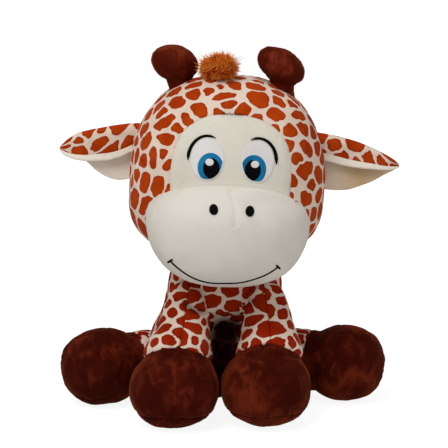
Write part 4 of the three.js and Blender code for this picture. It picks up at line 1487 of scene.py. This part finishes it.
def foldedLines(stations, top, low, flap, fold):
    # at each station a line in steps of its own length: up the back, over the fold and down the flap
    lines = []
    bend = np.linspace(0, math.pi, 24)
    for i in range(len(stations)):
        back = np.stack([np.full(30, fold[i]), np.linspace(low[i], top[i], 30)], -1)
        over = np.stack([fold[i] * np.cos(bend), top[i] + fold[i] * np.sin(bend)], -1)
        front = np.stack([np.full(30, -fold[i]), np.linspace(top[i], flap[i], 30)], -1)
        lines.append(evenly(np.vstack([back, over[1:-1], front]), ear["steps"]))
    lines = np.array(lines)
    # the flap lies closer to the back towards its edge, and the leaf sags in the middle of its length
    v = np.linspace(0, 1, ear["steps"])
    lines[..., 0] += fading(v, ear["flapFrom"])[None] * fold[:, None] * 0.5
    lines[..., 0] += (ear["bow"] * np.sin(np.pi * np.clip(stations, 0, 1)))[:, None] * (0.4 - v)[None]
    return lines


def earSections(split):
    # the outlines of the two cloths across the leaf: shares of the line, and of the cloth's thickness. The
    # lining goes round the flap's edge as a rim, which ends at split on the spotted side
    n = 70
    out = np.linspace(0, split, n)
    spottedOut = np.stack([out, np.minimum(1, 0.35 + 12 * np.minimum(out, split - out + 0.012))], -1)
    spottedIn = np.stack([np.linspace(split, 0, n), np.full(n, 0.05)], -1)
    bend = np.linspace(-math.pi / 2, math.pi / 2, 11)
    rimEnd = np.stack([1 + 0.020 * np.cos(bend), 1.05 * np.sin(bend) + 0.02], -1)
    rimBack = np.stack([np.linspace(1, split - 0.004, 14), np.full(14, 1.15)], -1)
    liningIn = np.stack([np.linspace(0, 1, n), np.full(n, -1.0)], -1)
    liningBack = np.stack([np.linspace(split - 0.004, 0, n), np.full(n, -0.05)], -1)
    lowEnd = np.stack([-0.014 * np.cos(bend)[::-1], -0.5 + 0.45 * np.sin(bend)[::-1]], -1)
    lining = np.vstack([liningIn, rimEnd, rimBack[1:], liningBack, lowEnd[1:-1]])
    return np.vstack([spottedOut, spottedIn]), lining


def makeEar(side, seed):
    # two cloths on either side of the folded leaf, which leans as the skull's side does at its root
    sign = sides[side]
    skull = head["skull"]
    ends = [ear["rise"] + way * ear["rootHalfLength"] - skull["at"][2] for way in (-1, 1)]
    lowX, highX = [
        skull["half"][0] * ovalArc(above / heightOf(skull, above), skull["power"]) for above in ends
    ]
    tilt = (highX - lowX) / (2 * ear["rootHalfLength"])
    root = np.array([sign * (lowX + highX) / 2, -ear["lead"], ear["rise"]])
    stations = np.linspace(0, 1, ear["stations"])
    top, low, flap, fold = earShape(side, stations)
    lines = foldedLines(stations, top, low, flap, fold)
    along = ear["start"] + (ear["lengths"][side] - ear["start"]) * stations
    across = sign * (along[:, None] + 0 * lines[..., 1]) + lines[..., 1] * tilt * sign
    middle = np.stack([across, lines[..., 0], lines[..., 1]], -1) + root
    normals = normalsOf(middle, closed=False)
    # the fold's outside is the spotted side
    if normals[:, ear["steps"] // 2, 2].mean() < 0:
        normals = -normals
    lineLength = runOf(lines[20])[-1]
    split = 1 - ear["rim"] / lineLength
    thick = ear["cloth"] * (1 - ear["thinning"] * stations) * (0.3 + 0.7 * fold / fold[0]) ** 0.5

    def finished(section):
        # a section carried along the ear, with soft waves that fade towards the root
        share = np.clip(section[:, 0], 0, 1)
        i = np.minimum((share * (ear["steps"] - 1)).astype(int), ear["steps"] - 2)
        f = (share * (ear["steps"] - 1) - i)[None, :, None]
        points = middle[:, i] * (1 - f) + middle[:, i + 1] * f
        ways = unit(normals[:, i] * (1 - f) + normals[:, i + 1] * f)
        beyond = (section[:, 0] - share) * lineLength
        late = (section[:, 0] > 0.5)[None, :, None]
        edgeWay = unit(np.where(late, middle[:, -1:] - middle[:, -2:-1], middle[:, 1:2] - middle[:, :1]))
        grid = points + edgeWay * beyond[None, :, None]
        grid = grid + ways * (section[:, 1][None] * thick[:, None])[..., None]
        wave = lumpy(grid, ear["waves"], seed) * smooth01(stations * 4)[:, None]
        return grid + np.array([0, 1.0, 0]) * wave[..., None]

    spotted, lining = earSections(split)
    back = finished(spotted)
    edgeDistance = np.minimum(np.abs(spotted[:, 0] - split), 9)[None] * lineLength + 0 * back[..., 0]
    # the spots are laid out on the flat leaf, before it is folded
    flat = np.stack(np.broadcast_arrays(along[:, None], spotted[None, :, 0] * lineLength, 0.0), -1)
    spots = spotEdge(flat, 0, ear["spacing"][side], ear["gap"], seed + 4)
    values = {"spot": spots, "seam": np.minimum(edgeDistance + 0.4, 9)}
    leaf = makePiece(f"plush_ear_{side}", posed(back), cloths["spotted"], values)
    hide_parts(f"ear_back_{side}")
    inside = finished(lining)
    # painted shade: the lining is tanner where it lies deep under the fold, most of all in the middle of the
    # ear
    deep = (1 - fading(lining[:, 0], ear["shadeFrom"])) * np.interp(stations, *ear["shadeAlong"])[:, None]
    values = {"seam": np.full(inside.shape[:-1], 9.0), "deep": ear["deep"][side] * deep}
    hem = makePiece(f"plush_ear_lining_{side}", posed(inside), cloths["lining"], values)
    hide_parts(f"ear_lining_{side}")
    start = posed(root) * mm
    end = posed(root + np.array([sign * ear["blendTo"], 0, 0])) * mm
    for part in (leaf, hem):
        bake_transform(part)


for side in sides:
    makeEar(side, 700 if side == "right" else 730)
print("ears made")


strand = {"steps": 6, "sides": 3, "wave": 0.05, "waveTurn": 7, "taper": 0.75}


def makeStrands(name, roots, ways, lengths, width, seed, curl, place):
    # thin tapered strands of three sides: each runs out along its way, drifts off it by the square of its
    # length with a soft wave, and ends in a point
    rng = np.random.default_rng(seed)
    count, steps, corners = len(roots), strand["steps"], strand["sides"]
    t = np.linspace(0, 1, steps)
    aside = unit(np.cross(ways, rng.normal(size=ways.shape)))
    other = np.cross(ways, aside)
    bend = rng.normal(scale=curl, size=(count, 2))
    swirl = rng.uniform(0, 2 * math.pi, count)
    drift = (t**2)[None] * lengths[:, None]
    run = roots[:, None] + ways[:, None] * (lengths[:, None] * t)[..., None]
    run = run + aside[:, None] * (bend[:, :1] * drift)[..., None]
    run = run + other[:, None] * (bend[:, 1:] * drift)[..., None]
    wave = np.sin(t[None] * strand["waveTurn"] + swirl[:, None]) * lengths[:, None] * strand["wave"] * t[None]
    run = run + other[:, None] * wave[..., None]
    ring = around(turnSteps(corners), aside[:, None, None], other[:, None, None])
    points = run[:, :, None] + ring * (width * (1 - strand["taper"] * t))[None, :, None, None]
    first = (np.arange(count) * steps * corners)[:, None, None]
    row = first + (np.arange(steps - 1) * corners)[None, :, None]
    j = np.arange(corners)[None, None]
    k = (j + 1) % corners
    quads = np.stack([row + j, row + k, row + corners + k, row + corners + j], -1).reshape(-1, 4)
    last = first[:, 0] + (steps - 1) * corners
    ends = np.concatenate([first[:, 0] + np.array([[0, 2, 1]]), last + np.array([[0, 1, 2]])])
    shape = points.shape[:3]
    values = {"along": np.broadcast_to(t[None, :, None], shape).reshape(-1)}
    values["lot"] = np.broadcast_to(rng.uniform(0, 1, count)[:, None, None], shape).reshape(-1)
    flat = place(points.reshape(-1, 3)) * mm
    return finishPiece(name, flat, quads.tolist() + ends.tolist(), cloths["pile"], values)


def tuftCore(name, look, at, place):
    # the pile's dense middle: a rough ball under the strands
    grid = ovalGrid({"half": look["half"], "power": 2.0, "at": at}, *look["grid"])
    grid = grid + normalsOf(grid) * lumpy(grid, look["lumps"], look["lumpSeed"])[..., None]
    # the core takes the root's painted shade
    values = {"along": np.full(grid.shape[:-1], 0.15), "lot": np.full(grid.shape[:-1], 0.3)}
    return makePiece(name, place(grid), cloths["pile"], values)


headTuft = {
    "across": -15.5,
    "lead": 30.0,
    "rise": 10.5,
    "half": (14.5, 13.5, 11.0),
    "grid": (40, 60),
    "lumps": [(9, 1.4)],
    "lumpSeed": 801,
    "rootsAt": 0.8,  # how far out the strands start, as a share of the ball
    "strands": 3400,
    "up": 0.35,
    "lowest": -0.45,
    "clumps": 34,
    "clumpUp": 0.3,
    "clumpTurn": 0.8,
    "shares": (0.32, 0.68),  # of a strand's own way, and of its clump's
    "length": 13.0,
    "lengths": (0.7, 1.05),
    "clumpLengths": (0.65, 1.25),
    "flatter": 0.4,  # how much shorter a strand is that points straight up
    "wisps": 0.02,
    "wispsAbove": 0.5,
    "wispLength": 1.6,
    "width": 0.55,
    "curl": 0.4,
}


def makeHeadTuft():
    # strands all round a ball on the crown, which lean together in clumps
    skull = head["skull"]
    _, b, c = skull["half"]
    crown = skull["at"][2] + c * ovalArc(headTuft["lead"] / b, skull["power"])
    at = np.array([headTuft["across"], skull["at"][1] - headTuft["lead"], crown + headTuft["rise"]])
    piece = tuftCore("plush_tuft_core", headTuft, at, posed)
    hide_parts("head_tuft")
    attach(piece, "head")
    rng = np.random.default_rng(802)
    count = headTuft["strands"]
    ways = unit(rng.normal(size=(count, 3)) + np.array([0, 0, headTuft["up"]]))
    ways[:, 2] = np.maximum(ways[:, 2], headTuft["lowest"])
    ways = unit(ways)
    clumps = unit(rng.normal(size=(headTuft["clumps"], 3)) + np.array([0, 0, headTuft["clumpUp"]]))
    nearest = (ways @ clumps.T).argmax(1)
    roots = at + ways * np.array(headTuft["half"]) * headTuft["rootsAt"]
    swirled = np.cross(clumps, unit(rng.normal(size=clumps.shape)))
    clumpWays = unit(clumps + headTuft["clumpTurn"] * swirled)
    ownShare, clumpShare = headTuft["shares"]
    ways = unit(ways * ownShare + clumpWays[nearest] * clumpShare)
    lengths = headTuft["length"] * rng.uniform(*headTuft["lengths"], count)
    lengths = lengths * rng.uniform(*headTuft["clumpLengths"], len(clumps))[nearest]
    lengths *= 1 - headTuft["flatter"] * abs(ways[:, 2])
    wisps = (rng.uniform(0, 1, count) < headTuft["wisps"]) & (ways[:, 2] > headTuft["wispsAbove"])
    lengths = np.where(wisps, lengths * headTuft["wispLength"], lengths)
    look = (headTuft["width"], 803, headTuft["curl"])
    piece = makeStrands("plush_tuft", roots, ways, lengths, *look, posed)
    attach(piece, "head")


tail = {
    "root": (0, 81.5, 55),
    "line": [(6.4, -10), (6.6, 0), (5.6, 22), (4.8, 44), (3.4, 47.5), (0.5, 48.6)],
    "length": 44.0,
    "droop": 53.0,
    "blendTo": 16,
    "grid": (60, 48),
    "lumps": [(13, 0.5)],
    "spots": {"spacing": 14.0, "gap": 1.8, "seed": 852},
}
tailTuft = {
    "drop": 14,  # how far its middle is above its lowest strand
    "half": (9.5, 13.5, 9.5),
    "grid": (30, 48),
    "lumps": [(8, 1.1)],
    "lumpSeed": 853,
    "rootsAt": 0.8,
    "strands": 1700,
    "lean": (0, 0.7, -0.1),
    "length": 8.5,
    "lengths": (0.6, 1.1),
    "width": 0.4,
    "curl": 0.5,
    "floorGap": 0.4,
}


def makeTail():
    # a turned line that droops from the body, and the tuft at its end on the floor
    droop = math.radians(tail["droop"])
    axis = np.array([0, math.cos(droop), -math.sin(droop)])
    root = np.array(tail["root"], float)
    rows, columns = tail["grid"]
    grid = turnedGrid(curveThrough(tail["line"], rows), root, axis, (0, 1, 1), columns)
    grid = grid + normalsOf(grid) * lumpy(grid, tail["lumps"], 851)[..., None]
    values = {"spot": spotEdge(grid, 0, **tail["spots"]), "seam": np.full(grid.shape[:-1], 9.0)}
    piece = makePiece("plush_tail", grid, cloths["shadedSpotted"], values)
    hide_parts("tail_skin")
    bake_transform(piece)
    at = root + axis * tail["length"]
    at[2] = tailTuft["drop"] - restFlat
    piece = tuftCore("plush_tail_core", tailTuft, at, np.array)
    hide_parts("tail_tuft")
    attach(piece, "tail")
    rng = np.random.default_rng(854)
    ways = unit(rng.normal(size=(tailTuft["strands"], 3)) + np.array(tailTuft["lean"]))
    roots = at + ways * np.array(tailTuft["half"]) * tailTuft["rootsAt"]
    lengths = tailTuft["length"] * rng.uniform(*tailTuft["lengths"], len(ways))

    def aboveFloor(points):
        # no point is lower than the gap
        return np.maximum(points, [-np.inf, -np.inf, tailTuft["floorGap"]])

    look = (tailTuft["width"], 855, tailTuft["curl"])
    piece = makeStrands("plush_tail_tuft", roots, ways, lengths, *look, aboveFloor)
    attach(piece, "tail")


makeHeadTuft()
makeTail()
print("tufts and tail made")


studio = {  # places and sizes of the floor and the lamps are in metres
    "look": (3.85, -8.0, 198.5),
    "distance": 1600.0,
    "elevation": 9.0,
    "lens": 116.8,
    "sensor": 36.0,
    "world": 0.25,
    "floor": 4.0,
    "paper": 0.96,
    "glow": 1.2,
    "glowFrom": (0.4, 1.3),  # the paper is as bright as the world from here on
    "glowShare": 0.75,
    "lamps": {
        "key": {"place": (-0.6, -1.1, 1.6), "target": (0, 0, 0.2), "size": 1.0, "power": 19.5},
        "left": {"place": (1.5, -0.7, 0.8), "target": (0, 0, 0.2), "size": 1.2, "power": 3.6},
        "top": {"place": (0.0, -0.1, 1.8), "target": (0, 0, 0.25), "size": 1.2, "power": 4.5},
    },
}
whiteLight = (1, 1, 1, 1)


def makeFloor():
    # a square of white paper that glows for the camera, and takes shadows near the toy
    size = studio["floor"]
    mesh = bpy.data.meshes.new("floor")
    corners = [(-size, -size, 0), (size, -size, 0), (size, size, 0), (-size, size, 0)]
    mesh.from_pydata(corners, [], [(0, 1, 2, 3)])
    paper = (studio["paper"],) * 3 + (1,)
    shader = Shader("floorPaper", {"Roughness": 0.9, "Base Color": paper, "Specular IOR Level": 0.0})
    glow = shader.add("ShaderNodeEmission", None, {"Color": whiteLight, "Strength": studio["glow"]})
    away = shader.add("ShaderNodeVectorMath", {"operation": "LENGTH"}, {0: shader.place})
    far = shader.ramp(Number(shader, away.outputs["Value"]), *studio["glowFrom"])
    share = shader.shownRays() * (far * (1 - studio["glowShare"]) + studio["glowShare"])
    both = shader.add("ShaderNodeMixShader", None, {0: share, 1: shader.cloth.outputs[0], 2: glow.outputs[0]})
    shader.put(shader.nodes["Material Output"], {"Surface": both.outputs[0]})
    mesh.materials.append(shader.material)
    floor = addObject("floor", mesh)


def makeWorld():
    # a dim even light, behind which the camera sees white
    world = bpy.data.worlds.new("studio")
    bpy.context.scene.world = world
    tree = Tree(world)
    dim = tree.nodes["Background"]
    tree.put(dim, {"Color": whiteLight, "Strength": studio["world"]})
    white = tree.add("ShaderNodeBackground", None, {"Color": whiteLight, "Strength": 1.0})
    inputs = {0: tree.shownRays(), 1: dim.outputs[0], 2: white.outputs[0]}
    mix = tree.add("ShaderNodeMixShader", None, inputs)
    tree.put(tree.nodes["World Output"], {"Surface": mix.outputs[0]})


def addLamp(name, place, target, size, power):
    # a square lamp turned to look at its target
    lamp = bpy.data.lights.new(name, "AREA")
    lamp.size = size
    lamp.energy = power
    holder = addObject(name, lamp)
    holder.location = place
    x, y, z = unit(np.array(target) - np.array(place))
    holder.rotation_euler = (math.acos(-z), 0, math.atan2(-x, y))


def makeCamera():
    # in front of the toy, this many degrees above the point it looks at
    elevation = math.radians(studio["elevation"])
    camera = bpy.data.cameras.new("camera")
    camera.lens = studio["lens"]
    camera.sensor_width = studio["sensor"]
    holder = addObject("camera", camera)
    back = np.array([0, -math.cos(elevation), math.sin(elevation)])
    holder.location = np.array(studio["look"]) * mm + back * studio["distance"] * mm
    holder.rotation_euler = (math.pi / 2 - elevation, 0, 0)
    bpy.context.scene.camera = holder


makeFloor()
makeWorld()
for name, lamp in studio["lamps"].items():
    addLamp(name, **lamp)
makeCamera()
bpy.context.scene.view_settings.view_transform = "Standard"
print("studio made")
